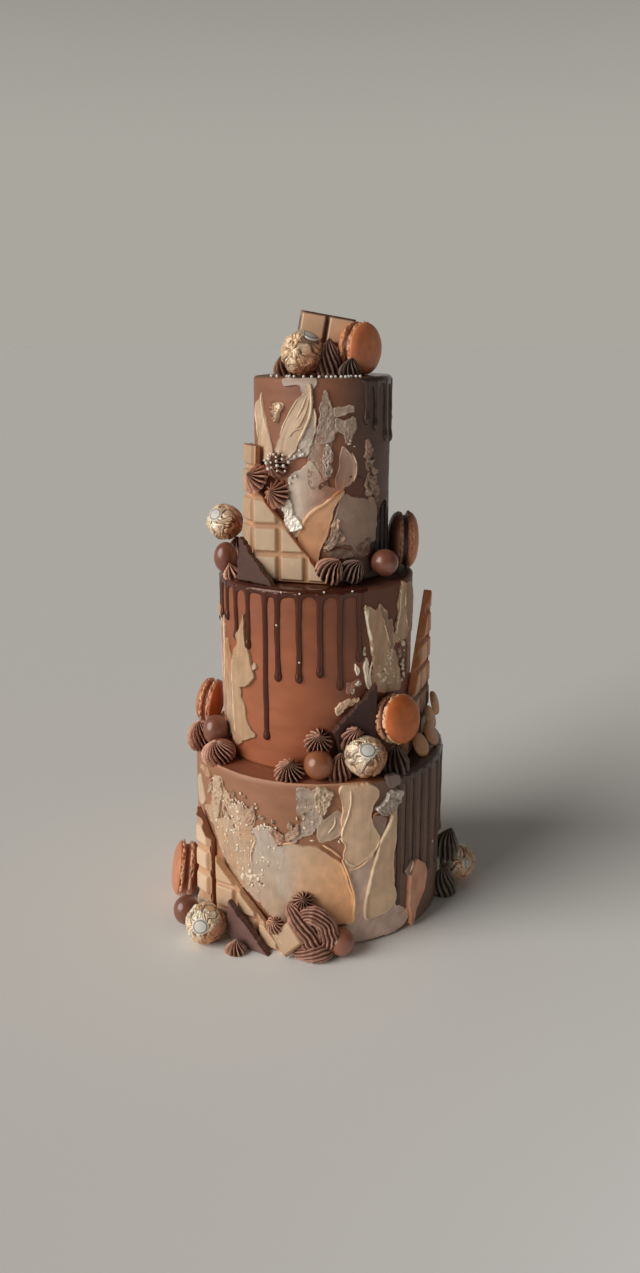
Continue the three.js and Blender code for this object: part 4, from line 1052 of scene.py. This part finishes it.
# Dark shards: the outline is drawn in on both faces, the walls between them are rough
shards = {
    "middle": {"corners": [(0, 34), (36, 0), (0, 0)],
        "spot": flat(topTier, -35, 72.5, -29.5, 298, lean=-4, roll=-3), "face": light(79, 57, 52),
        "broken": light(126, 88, 70)},
    "low": {"corners": [(0, 22), (38, 58), (38, 2), (6, 2)], "spot": flat(middleTier, 22, 82.2, -21, 160)},
    "base": {"corners": [(3, 38), (43, 0), (14, 0), (0, 10)],
        "spot": flat(bottomTier, -33, 120, -10.5, 0.3), "face": light(120, 91, 85)},
}
shardHabit = {
    "depth": 6.0, "face": light(64, 46, 44), "broken": light(92, 62, 52), "ragged": 1.1, "step": 0.7,
    "chips": 0.5, "dents": 0.15,
}


def shardOf(shard, seed):
    # rings of one outline, each drawn to the middle by its share and lifted by its part of the depth;
    # a torn side = straight side + normal * grain, which fades out at the corners
    look = {**shardHabit, **shard}
    corners = np.array(look["corners"], float)
    edges = []
    for i, (a, b) in enumerate(zip(corners, np.roll(corners, -1, 0))):
        count = int(np.linalg.norm(b - a) / look["step"])
        t = np.linspace(0, 1, count, endpoint=False)[:, None]
        side = a + (b - a) * t
        normal = np.array([b[1] - a[1], a[0] - b[0]]) / np.linalg.norm(b - a)
        torn = grain(marked(side, seed), 4.5, seed) + 0.6 * grain(marked(side, seed), 1.7, seed + 1)
        fade = smooth(0, 0.08, t[:, 0]) * smooth(0, 0.08, 1 - t[:, 0])
        edges.append(side + normal * (torn * fade * look["ragged"] * (1 if i == 0 else 0.25))[:, None])
    outline = np.vstack(edges)
    middle = outline.mean(0)
    depth = look["depth"]
    draws = np.array([0.1, 0.5, 0.9, 0.97, 1, 1, 1, 1, 1, 1, 0.985, 0.965, 0.9, 0.7, 0.5, 0.3, 0.1])
    lifts = np.array([0, 0, 0, 0, 0.08, 0.25, 0.42, 0.58, 0.75, 0.9, 0.98, 1, 1, 1, 1, 1, 1]) * depth
    flatRings = middle + (outline - middle) * draws[:, None, None]
    rings = np.concatenate([flatRings, lifts[:, None, None] + 0 * flatRings[..., :1]], -1)
    wall = ((draws > 0.98) * 1.0)[:, None]
    chips = grain(rings, 1.8, seed + 3) + 0.6 * grain(rings, 0.9, seed + 4)
    rings[..., :2] += unit(middle - outline) * (wall * look["chips"] * chips)[..., None]
    rings[..., 2] += look["dents"] * cloudy(rings, 9, seed + 6) * (lifts[:, None] > 0.9 * depth)
    tone = mixTones(look["face"], look["broken"], wall * (0.55 + 0.5 * chips))
    return shell(placed(rings, look["spot"]), tone)


for i, (name, shard) in enumerate(shards.items()):
    makePiece(f"dark_{name}", [shardOf(shard, 70 + i)], darkSlab, [f"shard_{name}"])
print("shards are set")

# Piped rosettes: reach = profile * (1 - depth * groove), the grooves wind round as they climb
rosettes = {
    "top_left": (10, 16, {"x": -26, "y": -10, "z": 456.3, "lean": 12, "face": -60}),
    "top_middle": (10.5, 28, {"x": 8, "y": -24, "z": 456.3}),
    "top_right": (9, 14, {"x": 24, "y": -35, "z": 456.3, "lean": 12, "face": 30}),
    "middle_upper": (12, 14, flat(topTier, -50, 65, 0, 377, lean=64)),
    "middle_lower": (12, 14, flat(topTier, -36, 58, 0, 366, lean=70)),
    "middle_pearled": (10.6, 13, flat(topTier, -37, 57, 0, 389, lean=70)),
    "middle_ledge": (7.5, 12, {"x": -70.5, "y": -33, "z": 296.6, "lean": 14, "face": -55}),
    "middle_under": (11, 24, {"x": -71, "y": 16, "z": 296.3}),
    "middle_front_left": (12.3, 17, {"x": 5.8, "y": -64, "z": 304.8, "lean": 42, "face": 62}),
    "middle_front_right": (10.3, 16, {"x": 23.8, "y": -58, "z": 303.6, "lean": 42, "face": 56}),
    "low_left_outer": (14, 23, {"x": -99, "y": -22, "z": 144.3, "face": -75, "lean": 8}),
    "low_left_inner": (14.8, 17, {"x": -83, "y": -52, "z": 144.3, "face": -55, "lean": 14}),
    "low_upper": (12, 20, {"x": 0, "y": -84, "z": 170, "lean": 50}),
    "low_front": (12.8, 15, {"x": -23, "y": -91, "z": 148, "lean": 36, "face": -8}),
    "low_middle": (11.5, 20, {"x": 26, "y": -80, "z": 170, "lean": 40, "face": 16}),
    "low_inner": (10.5, 22, {"x": 16.5, "y": -91, "z": 144.3, "lean": 10, "face": 12}),
    "low_right": (12.5, 22, {"x": 63, "y": -77, "z": 144.3, "face": 40}),
    "base_small": (9.6, 11.5, {"x": -68, "y": -116, "z": 0.3, "face": -30}),
    "base_pearled": (8.2, 12, {"x": -34.5, "y": -115, "z": 23.5, "lean": 42, "face": -18}),
    "piping_left": (12, 38, {"x": -15, "y": -118, "z": 0.3}),
    "piping_right": (14, 34, {"x": 5, "y": -117, "z": 0.3}),
    "piping_star": (12, 18, {"x": -12, "y": -108, "z": 40, "lean": 50, "face": -6}),
    "piping_foot": (11, 11, {"x": -6, "y": -126, "z": 0.3}),
    "base_right": (11.5, 25, {"x": 113.5, "y": -19, "z": 0.3, "face": 80}),
    "base_back": (12.5, 26, {"x": 114, "y": 0, "z": 28, "lean": 16, "face": 90}),
}
# crest and groove tones: the ridges lighter and the grooves darker, painted highlight and painted shade
pipingHabit = {
    "ridges": 12, "depth": 0.42, "twist": 0.6, "crest": light(174, 126, 104), "groove": light(52, 31, 26),
    "from": 0.2, "sharp": 1.15, "profile": [(0.0, 0.55), (0.0, 0.86), (0.12, 0.99), (0.3, 1.0),
    (0.52, 0.86), (0.74, 0.58), (0.9, 0.3), (1.0, 0.08)],
    "step": 0.55, "sides": 12, "wander": 0.8, "swell": 0.06, "curl": 0.10, "climb": 0.03, "rough": 0.34,
}
openStar = {
    "ridges": 16, "depth": 0.58, "twist": 0.35, "sharp": 1.3, "profile": [(0.0, 0.5), (0.02, 0.84),
    (0.14, 1.04), (0.28, 1.02), (0.46, 0.8), (0.66, 0.52), (0.86, 0.25), (1.0, 0.07)],
}
# piping on the left, where the light falls: lighter crests, painted light
paintedLitSide = {
    "ridges": 13, "crest": light(244, 186, 158), "groove": light(88, 51, 41), "from": 0.22,
}
ruffled = {
    "ridges": 22, "depth": 0.42, "sharp": 1.2, "profile": [(0.0, 0.55), (0.02, 0.88), (0.2, 1.02),
    (0.45, 1.0), (0.68, 0.84), (0.86, 0.56), (0.97, 0.3), (1.0, 0.08)],
}
starFront = {
    **openStar, "ridges": 17, "crest": light(226, 171, 145), "groove": light(44, 26, 21), "from": 0.34,
}
# painted shade: darker piping for rosettes that lie in shade, greyer at the right foot
paintedShadePiping = {"crest": light(109, 89, 79), "groove": light(40, 29, 26), "from": 0.3}
shadedPiping = {"crest": light(146, 134, 120), "groove": light(46, 37, 34)}
# each rosette's crest tone is lighter where the light falls and darker in shade: painted light and shade
pipingLooks = {
    "top_left": {"crest": light(154, 112, 92)},
    "top_middle": {"twist": 1.4, "depth": 0.36, "crest": light(146, 111, 96), "groove": light(54, 37, 32),
        "from": 0.2},
    "top_right": paintedShadePiping,
    "low_right": paintedShadePiping,
    "middle_front_left": {"twist": 0.9, "ridges": 13, "depth": 0.46, "crest": light(232, 176, 150),
        "groove": light(42, 25, 21), "from": 0.38, "sharp": 1.25},
    "middle_front_right": {"twist": 0.9, "ridges": 12, "depth": 0.42, "crest": light(176, 144, 130),
        "groove": light(42, 29, 26), "from": 0.42},
    "middle_upper": {**openStar, **paintedLitSide},
    "middle_lower": {**openStar, **paintedLitSide},
    "middle_pearled": {**openStar, **paintedLitSide, "crest": light(214, 160, 136), "groove": light(60, 33, 26)},
    "middle_ledge": {**openStar, **paintedLitSide, "ridges": 8},
    "low_left_outer": {**ruffled, "crest": light(226, 172, 146), "from": 0.22},
    "low_left_inner": {**paintedLitSide, **ruffled, "crest": light(238, 184, 158), "groove": light(88, 52, 42)},
    "low_upper": {**starFront, "ridges": 15},
    "low_front": starFront,
    "base_small": {**openStar, "ridges": 13, "crest": light(204, 158, 138), "groove": light(110, 74, 62),
        "from": 0.1},
    "base_pearled": {"ridges": 8, "depth": 0.3, **paintedLitSide},
    "low_middle": {"crest": light(200, 150, 128)},
    "piping_star": {**openStar, "ridges": 13, "depth": 0.5, "crest": light(208, 156, 132),
        "groove": light(54, 31, 25)},
    "base_right": {**shadedPiping, "depth": 0.26, "twist": 1.2},
    "base_back": {**shadedPiping, "depth": 0.28, "twist": 1.0},
}


def rosetteOf(name, seed):
    # crest = |sawtooth of ridges * (turn + twist * up^1.2)|^sharp; the tip curls over with up^3
    radius, height, spot = rosettes[name]
    look = {**pipingHabit, **pipingLooks.get(name, {})}
    profile = curveThrough(np.array(look["profile"])[:, ::-1] * [radius, height], look["step"], False)
    up = profile[:, 1:2] / height
    turn = circle(look["ridges"] * look["sides"])
    wobble = grain(np.stack([3 * np.cos(turn), 3 * np.sin(turn), 0 * turn + seed], -1), 2.4, seed)
    wind = look["ridges"] * (turn + look["twist"] * up ** 1.2) + look["wander"] * wobble
    crest = np.abs(((wind / (2 * np.pi)) % 1) * 2 - 1) ** look["sharp"]
    grooved = look["depth"] * smooth(0, 0.12, up) * (1 - 0.35 * smooth(0.75, 1, up))
    reach = profile[:, :1] * (1 - grooved * (1 - crest)) * (1 + look["swell"] * wobble)
    curl = look["curl"] * radius * up ** 3
    climb = up * height + look["climb"] * height * crest * smooth(0.1, 0.5, up) + 0 * turn
    rings = np.stack([reach * np.sin(turn) + curl, climb, reach * np.cos(turn)], -1)
    rings += look["rough"] * cloudy(rings, 2.6, seed + 2)[..., None] * smooth(0, 0.1, up)[..., None]
    rings[..., 1] = np.clip(rings[..., 1], 0, None)
    share = smooth(look["from"], look["from"] + 0.6, crest) * (0.85 + 0.3 * grain(rings, 3, seed + 4))
    return shell(placed(rings, spot), mixTones(look["groove"], look["crest"], share))


# The large piping at the foot: grooved ropes squeezed along a line, (x, y, z, radius) at its corners
ropes = {
    "piping_left": {"path": [(-24, -114, 44, 4), (-21, -116, 39, 7), (-16, -119, 31, 9),
        (-10, -122, 21, 9.5), (-5, -124, 11, 9), (-3, -125, 5, 6)], "ridges": 13, "wind": 0.003},
    "piping_right": {"path": [(-14, -117, 33, 5), (-9, -120, 37, 7.5), (-1, -122, 36, 8.5),
        (5, -122, 30, 9), (8, -122, 21, 9), (8, -122, 12, 8.5), (5, -122, 5, 6)], "ridges": 14,
        "wind": 0.0015},
    "piping_foot": {"path": [(-20, -122, 5, 4), (-13, -127, 6, 6), (-4, -130, 7, 7.5), (5, -128, 6.5, 7),
        (11, -123, 5, 4)], "ridges": 11, "wind": 0.009},
}
# crest and groove tones: painted highlight on the ridges, painted shade in the grooves
ropeHabit = {
    "crest": light(190, 141, 121), "groove": light(80, 49, 40), "step": 0.7, "sides": 12, "wander": 0.07,
    "swell": 0.10, "depth": 0.27, "rough": 0.35, "front": (0.0, -1.0, 0.25),
}


def ropeOf(rope, seed):
    # rings stand across the line; reach = radius * (1 - depth * groove), with the grooves winding slowly
    look = {**ropeHabit, **rope}
    course = curveThrough(look["path"], look["step"], False)
    middle, radius = course[:, :3], course[:, 3:4]
    ahead = unit(np.gradient(middle, axis=0))
    front = np.array(look["front"])
    out = unit(front - ahead * (ahead @ front)[:, None])
    side = np.cross(ahead, out)
    walked = (np.arange(len(course)) * look["step"])[:, None]
    toEnd = np.minimum(walked, walked[-1] - walked)
    ends = np.sqrt(np.clip(1 - (1 - np.clip(toEnd / radius, 0, 1)) ** 2, 0.004, 1))
    turn = circle(look["ridges"] * look["sides"])
    wander = look["wander"] * grain(line(walked[:, 0]), 6, seed + 6)[:, None]
    wind = look["ridges"] * (turn + 2 * np.pi * look["wind"] * walked + wander)
    crest = np.abs(((wind / (2 * np.pi)) % 1) * 2 - 1)
    wider = (1 + look["swell"] * grain(np.hstack([walked] * 3), 5, seed))[:, None]
    reach = radius * ends * (1 - look["depth"] * (1 - crest)) * wider
    rings = middle[:, None] + (reach * np.cos(turn))[..., None] * out[:, None] + (
        (reach * np.sin(turn))[..., None] * side[:, None])
    rings += look["rough"] * cloudy(rings, 5, seed + 2)[..., None]
    rings[..., 2] = np.clip(rings[..., 2], 0.1, None)
    share = smooth(0.1, 0.75, crest) * (0.85 + 0.3 * grain(rings, 3, seed + 4))
    return shell(rings, mixTones(look["groove"], look["crest"], share))


for i, name in enumerate(rosettes):
    part = ropeOf(ropes[name], 390 + i) if name in ropes else rosetteOf(name, 300 + 7 * i)
    makePiece(f"piped_{name}", [part], piped, [f"rosette_{name}"])
print("rosettes are piped")

# Macarons: a smooth dome, a ruffled foot that bulges with fine noise, a filling set back between the shells
macarons = {
    "top": {"radius": 20.5, "thick": 23, "spot": {"x": 33, "y": -12, "z": 477, "face": 50},
        "shell": light(216, 128, 82)},
    "middle_right": {"radius": 24, "thick": 25, "shell": light(208, 132, 94),
        "spot": flat(topTier, 94, 68.5, 0, 320.5, lean=2), "inner": light(134, 88, 66),
        "foot": light(170, 118, 90), "filling": light(60, 38, 31)},
    "low_left": {"radius": 20, "thick": 21, "spot": flat(middleTier, -104, 99, 0, 170, lean=-8),
        "shell": light(204, 124, 82), "foot": light(232, 178, 144), "filling": light(150, 82, 56)},
    "low_right": {"radius": 20.6, "thick": 25, "shell": light(208, 112, 58), "foot": light(250, 204, 164),
        "spot": {"x": 64.5, "y": -66.5, "z": 185.5, "face": 43, "lean": -12}},
    "low_back": {"radius": 20, "thick": 20, "spot": flat(middleTier, 121, 98, 0, 167, lean=-8)},
    "base_left": {"radius": 24.8, "thick": 24, "spot": {"x": -119.5, "y": -21, "z": 25.6, "face": -82,
        "lean": -8}, "shell": light(202, 132, 94), "inner": light(152, 86, 58),
        "foot": light(232, 176, 138), "filling": light(150, 84, 56)},
}
macaronHabit = {
    "shell": light(190, 112, 68), "foot": light(214, 156, 112), "filling": light(96, 52, 36),
    "outline": [(0.05, 1.0), (0.3, 0.985), (0.55, 0.93), (0.78, 0.8), (0.92, 0.62), (0.965, 0.5),
    (0.955, 0.45), (0.975, 0.38), (0.985, 0.3), (0.97, 0.22), (0.9, 0.165), (0.86, 0.1), (0.87, 0.0)],
    "step": 0.55, "sides": 168, "ruffle": 1.9, "ruffleUp": 0.35, "dents": 0.12,
}


def macaronOf(macaron, seed):
    # share is the height over the half thickness: up to 0.15 filling, up to 0.45 foot, then shell;
    # reach = profile + foot * noise
    look = {**macaronHabit, **macaron}
    radius, half = look["radius"], look["thick"] / 2
    upper = curveThrough(np.array(look["outline"]) * [radius, half], look["step"], False)
    profile = np.vstack([upper[:-1], upper[::-1] * [1, -1]])
    share = np.abs(profile[:, 1:2]) / half
    turn = circle(look["sides"])
    foot = smooth(0.14, 0.2, share) * (1 - smooth(0.40, 0.47, share))
    at = lathed(profile[:, :1], profile[:, 1:2], turn)
    ruffle = cloudy(at * [1, 1, 1.3], 2.3, seed, 2)
    reach = profile[:, :1] + foot * (look["ruffle"] * ruffle - 0.1) + look["dents"] * cloudy(at, 9, seed + 3)
    rings = lathed(reach, at[..., 2] + foot * look["ruffleUp"] * ruffle, turn)
    # painted shade: the shell on the inner side takes the darker tone "inner", where it lies in shade
    shadedShells = mixTones(look.get("inner", look["shell"]), look["shell"], smooth(-1, 1, at[..., 2]))
    tone = mixTones(look["filling"], shadedShells, smooth(0.13, 0.18, share) + 0 * turn)
    # the foot is paler; its bulges are made lighter still and its pits darker: painted highlight and painted
    # shade
    tone = mixTones(tone, look["foot"], foot * (0.8 + 0.9 * ruffle))
    tone = mixTones(tone, look["filling"], foot * smooth(0.15, 0.5, -ruffle) * 0.7)
    return shell(placed(rings, look["spot"]), uneven(tone, 0.06, at, 13, seed + 5))


for i, (name, macaron) in enumerate(macarons.items()):
    part = macaronOf(macaron, 500 + 11 * i)
    makePiece(f"baked_{name}", [part], baked, [f"macaron_{name}"])
print("macarons are set")

# Round sweets: a sphere whose reach is changed by a pattern over its directions
balls = {  # radius, centre, height as a share of the width, tone
    "middle_left": (10, (-76.8, -18, 309.8), 1.3, light(126, 74, 54)),
    "middle_right": (11.2, (53.5, -42, 310.5), 1, light(136, 82, 64)),
    "low_left": (10.9, (-87.5, -36, 164), 1.2, light(134, 80, 60)),
    "low_front": (12.1, (0.3, -95.5, 157.2), 1, light(150, 90, 57)),
    "base_left": (11.3, (-113, -72, 13.2), 1.14, light(124, 74, 56)),
    "base_front": (11.5, (18.2, -119.5, 11.8), 1, light(156, 100, 78)),
}
wrapped = {
    "top": {"radius": 16.9, "at": (-12.3, -22, 473.8), "sticker": (0.395, -0.335, 0.856),
        "gather": (-0.46, -0.87, 0.15), "paintedLightGain": 1.12, "tones": {"gold": light(226, 184, 144),
        "facetHighlight": light(244, 216, 184), "reflectedBrown": light(220, 152, 114)}},
    "middle": {"radius": 15.1, "at": (-79, 8, 335), "sticker": (-0.506, -0.657, 0.559), "paintedLightGain": 1.12},
    "low": {"radius": 16.8, "at": (38, -92.5, 163), "sticker": (0.062, -0.765, 0.641), "paintedLightGain": 0.92},
    "base_left": {"radius": 16.6, "at": (-93.8, -99.5, 16.8), "sticker": (-0.177, -0.924, 0.339),
        "paintedLightGain": 1.12},
    "base_right": {"radius": 16, "at": (128.5, 8, 17), "sticker": (0.5, -0.824, 0.268), "paintedLightGain": 1.5,
        "slim": 0.5, "crumple": 1.6, "tones": {"gold": light(240, 190, 158), "facetHighlight": light(255, 226, 200),
        "reflectedBrown": light(228, 166, 132)}},
}
foilTones = {
    "gold": light(226, 184, 138), "facetHighlight": light(254, 240, 216), "reflectedBrown": light(196, 126, 84),
    "creaseShade": light(98, 60, 40), "paper": light(240, 235, 226), "ring": light(118, 108, 96),
    "most": light(255, 246, 230),
}


def sphereOf(rows, sides):
    # directions of a sphere by rows from the lower to the upper pole
    tilt = np.linspace(-np.pi / 2 + 0.03, np.pi / 2 - 0.03, rows)[:, None]
    return lathed(np.cos(tilt), np.sin(tilt), circle(sides))


for i, (name, (radius, at, tall, milk)) in enumerate(balls.items()):
    way = sphereOf(36, 56)
    ball = uneven(way * radius, 0.012, way * 10, 7, 900 + i) * [1, 1, tall] + np.array(at)
    tone = uneven(milk, 0.08, way * 10, 5, 930 + i)
    makePiece(f"glazed_{name}", [shell(ball, tone)], glazed, [f"ball_{name}"])


foilShape = {
    "planes": 150, "nearest": 0.93, "bend": 0.16, "pleats": 3.4, "pleatsAlong": 1.3, "pleatDepth": 0.045,
    "sink": 0.04, "flattest": 0.94, "proudest": 1.04, "lift": 0.012, "creaseWidth": 0.012,
    "reflectedBrownSide": (0.78, -0.2, -0.6),
}


def creased(way, seed):
    # crumpled foil as a many-sided solid: reach = the nearest of many random planes along each direction;
    # the gap to the second nearest is small along the creases
    draw = np.random.default_rng(seed)
    count = foilShape["planes"]
    planes = unit(draw.normal(size=(count, 3)))
    bend = np.stack([grain(way, 0.35, seed + k) for k in range(3)], -1)
    bent = unit(way + foilShape["bend"] * bend)
    distance = draw.uniform(foilShape["nearest"], 1.0, count) / np.clip(bent @ planes.T, 0.25, 1)
    nearest = np.partition(distance, 1, axis=-1)
    return nearest[..., 0], nearest[..., 1] - nearest[..., 0], draw.random(count)[distance.argmin(-1)]


def wrappedBall(look, seed):
    # on the many-sided solid run pleats, 1 - 2|grain| over the turn round the gathering point, slower along
    # them, and finer wrinkles of the same kind; the creases sink and get painted shade, the facets painted
    # highlights
    tones = {**foilTones, **look.get("tones", {})}
    way = sphereOf(130, 200)
    gather = unit(np.array(look.get("gather", look["sticker"]), float))
    across = unit(np.cross(gather, [0.3, 0.9, 0.31]))
    along = np.arccos(np.clip(way @ gather, -1, 1))
    turn = np.arctan2(way @ np.cross(gather, across), way @ across)
    first, gap, facet = creased(way, seed)
    free = 1 - smooth(0.90, 0.945, way @ np.array(look["sticker"]))
    bend = 0.5 * grain(way * 10, 5.0, seed + 20)
    many = foilShape["pleats"]
    ring = [many * np.cos(turn + bend), many * np.sin(turn + bend), foilShape["pleatsAlong"] * along]
    ring = np.stack(ring, -1)
    pleats = 1 - 2 * np.abs(grain(ring, 1.15, seed + 40))
    fine = 1 - 2 * np.abs(grain(way * 10 + bend[..., None], 1.9, seed + 41))
    sunk = smooth(0.62, 0.96, pleats) + 0.5 * smooth(0.72, 0.99, fine)
    crease = 1 - smooth(0.0, foilShape["creaseWidth"], gap)
    bumps = np.clip(first, foilShape["flattest"], foilShape["proudest"]) - 1.0
    bumps = bumps + foilShape["pleatDepth"] * (1 - pleats) * (pleats > 0) - foilShape["sink"] * sunk
    bumps = bumps + foilShape["lift"]
    reach = look["radius"] * (1.0 + bumps * free * look.get("crumple", 1))
    # painted reflection and shade: the lower right side goes over to brown, the cake reflected in the foil
    side = way @ np.array(foilShape["reflectedBrownSide"]) + 0.25 * cloudy(way * 10, 6, seed + 43)
    # painted highlights: facets lighter at random
    tone = mixTones(tones["gold"], tones["facetHighlight"], 0.35 + 0.9 * (facet - 0.2))
    tone = mixTones(tone, tones["reflectedBrown"], smooth(-0.05, 0.55, side) * (0.65 + 0.3 * facet))
    # painted shade in the creases
    tone = mixTones(tone, tones["creaseShade"], np.clip(0.72 * sunk + 0.2 * crease, 0, 0.86) * free)
    # painted light: each ball's tones scaled to how bright it looks; most on the ball in shade at the right
    # foot, whose tones are lighter too
    tone = np.minimum(tone * look["paintedLightGain"], tones["most"])
    return shell(way * reach[..., None] + np.array(look["at"]), tone)


def stickerOf(look):
    # a thin oval disc laid on the ball: rings round its direction, with a raised ring printed near its edge
    toward = unit(np.array(look["sticker"]))
    across = unit(np.cross([0, 0, 1], toward))
    up = np.cross(toward, across)
    away = np.radians(np.array([0.5, 7, 15, 17, 18, 21, 22.5, 23, 23, 10]))[:, None, None]
    lift = np.array([0.5, 0.5, 0.5, 0.55, 0.55, 0.5, 0.4, 0.1, -0.9, -1.2])[:, None]
    turn = circle(48)[..., None]
    sideways = np.cos(turn) * across * 1.12 * look.get("slim", 1) + np.sin(turn) * up
    way = unit(np.cos(away) * toward + np.sin(away) * sideways)
    ringed = np.array([0.28, 0.28, 0.28, 1, 1, 0, 0, 0, 0, 0])[:, None] + 0 * turn[..., 0]
    tone = mixTones(foilTones["paper"], foilTones["ring"], ringed)
    return shell(way * (look["radius"] * 0.985 + lift)[..., None] + np.array(look["at"]), tone)


for i, (name, look) in enumerate(wrapped.items()):
    makePiece(f"foil_{name}", [wrappedBall(look, 811 + i)], crumpledFoil, [f"wrapped_{name}"])
makePiece("stickers", [stickerOf(look) for look in wrapped.values()], sticker)

# Buttons: a flat drop's profile, carried round and made slightly uneven
buttons = {
    "tone": light(206, 148, 104),
    "profile": [(0.3, -2), (6, -2), (10, -2), (10.9, -1.2), (10.8, -0.4), (9.6, 1.3), (6.5, 2.2),
        (3, 2.45), (0.3, 2.5)],
    "spots": [{"x": 87, "y": -43, "z": 153.5, "face": 62, "lean": -30},
        {"x": 98, "y": -20, "z": 154.5, "face": 70, "lean": -30},
        {"x": 98.5, "y": -5, "z": 164, "face": 72, "lean": -20},
        {"x": 104, "y": 13, "z": 171, "face": 78, "lean": -16}],
}
for i, spot in enumerate(buttons["spots"]):
    profile = curveThrough(buttons["profile"], 0.6, False)
    rings = lathed(profile[:, :1], profile[:, 1:], circle(64))
    rings = uneven(rings, 0.02, rings, 9, 960 + i)
    tone = uneven(buttons["tone"], 0.06, rings, 6, 970 + i)
    part = shell(placed(rings, spot), tone)
    makePiece(f"drop_{i + 1}", [part], blond, [f"button_{i + 1}"])
print("sweets are set")

# Pearls and crumbs: small closed balls at listed places or scattered over an area
pearls = {
    "tone": light(232, 226, 214), "radius": 1.25, "heaped": 19, "heapAside": 4.4, "fromEdge": 3.0,
    "stray": 2.6,
    "edge": [-50, -42, -33, -29, -25, -16, -9, -3, 4, 8, 12, 16, 20, 23, 26, 30, 34],
    "clusters": [
        (topTier, 2.6, [(-17.7, 402), (-16.2, 398), (-21.6, 397), (-14.7, 399), (-25, 380.5), (-21, 382),
                        (-26, 376), (-32, 371)]),
        (middleTier, 1.9, [(-19.5, 294.6), (-9.2, 294.3), (4, 295.8), (19.7, 295.4), (-22.5, 267.6),
                           (-9.6, 238.3)]),
        (bottomTier, 3.0, [(62, 68)]),
    ],
}
crumbs = {
    "sizes": (0.5, 1.2), "brownShare": 0.06,
    "fields": [  # tier, middle, spread, count and, where they differ, sizes and tone
        (bottomTier, (-38, 92), (8, 26), 84),
        (bottomTier, (-30, 58), (5, 8), 30, (0.8, 1.9)),
        (bottomTier, (-22, 74), (4, 12), 20, (0.6, 1.3)),
        (bottomTier, (-50, 118), (5, 14), 26),
        (bottomTier, (2, 131), (2.6, 8), 26),
        (bottomTier, (-13, 96), (3.4, 4), 18),
        (bottomTier, (-24, 105), (5, 3), 20),
        (bottomTier, (-38, 119), (7, 5), 26),
        (bottomTier, (-5, 112), (4, 14), 14),
        (bottomTier, (9, 96), (0.9, 4), 8),
        (middleTier, (47, 238), (4, 9), 16, (0.8, 1.5), "rimPale"),
        (middleTier, (43, 222), (9, 8), 18, (0.7, 1.4), "rimPale"),
        (middleTier, (60, 219), (6, 9), 14, (0.8, 1.5), "rimPale"),
        (middleTier, (58, 250), (5, 14), 10, (0.6, 1.2), "rimPale"),
        (topTier, (23, 409), (3, 4), 10),
        (topTier, (-46, 397), (6, 3), 12),
        (topTier, (4, 392), (2, 9), 12),
    ],
}
pearl = sphereOf(7, 10)
small = []
for degree in pearls["edge"]:
    wander = grain(np.array([degree, 3.0, 1.0]), 2.7, 41)
    reach = topTier["radius"] - pearls["fromEdge"] - pearls["stray"] * abs(wander)
    centre = about(topTier["axisX"], reach, np.radians(degree + wander), topTier["top"] + 0.9)
    small.append(shell(pearl * pearls["radius"] + centre, pearls["tone"]))
for tier, lift, places in pearls["clusters"]:
    for degree, z in places:
        centre = onTier(tier, np.radians(degree) * tier["radius"], np.array(float(z)), lift)
        size = pearls["radius"] * (0.72 if tier is middleTier else 1 + 0.12 * np.sin(z * 7))
        small.append(shell(pearl * size + centre, pearls["tone"]))
radius, height, spot = rosettes["middle_pearled"]
for i in range(pearls["heaped"]):
    # golden-angle spiral over the rosette's cap, shifted to the side that faces the front
    share = np.sqrt((i + 0.5) / pearls["heaped"])
    x = pearls["heapAside"] + 0.88 * radius * share * np.cos(2.4 * i)
    z = 0.88 * radius * share * np.sin(2.4 * i) - 1
    y = height * (1.0 - 0.55 * ((x * x + z * z) / radius ** 2)) + 0.3
    centre = placed(np.array([x, y, z]), spot)
    small.append(shell(pearl * pearls["radius"] * (0.95 + 0.2 * np.sin(5 * i)) + centre, pearls["tone"]))
makePiece("pearls", small, sugar)

draw = np.random.default_rng(77)
crumb = sphereOf(5, 7)
scattered = []


def scatter(tier, middle, wide, count, sizes=crumbs["sizes"], toneName="crumb"):
    # normal draws round a middle; each crumb is a small ball with uneven sides, stretched at random
    for _ in range(count):
        degree, z = draw.normal(middle, np.array(wide) * 0.6)
        size = draw.uniform(*sizes)
        rough = size * (1 + 0.35 * draw.uniform(-1, 1, crumb.shape[:2]))[..., None]
        bit = crumb * rough * draw.uniform(0.6, 1.5, 3)
        tone = spread["crumbBrown" if draw.random() < crumbs["brownShare"] else toneName]
        across = np.radians(degree) * tier["radius"] + bit[..., 0]
        bit = onTier(tier, across, z + bit[..., 2], 1.0 - 0.75 * bit[..., 1])
        scattered.append(shell(bit, tone * draw.uniform(0.84, 1.0)))


for field in crumbs["fields"]:
    scatter(*field)
makePiece("crumbs", scattered, knifed)
print("pearls and crumbs are scattered")
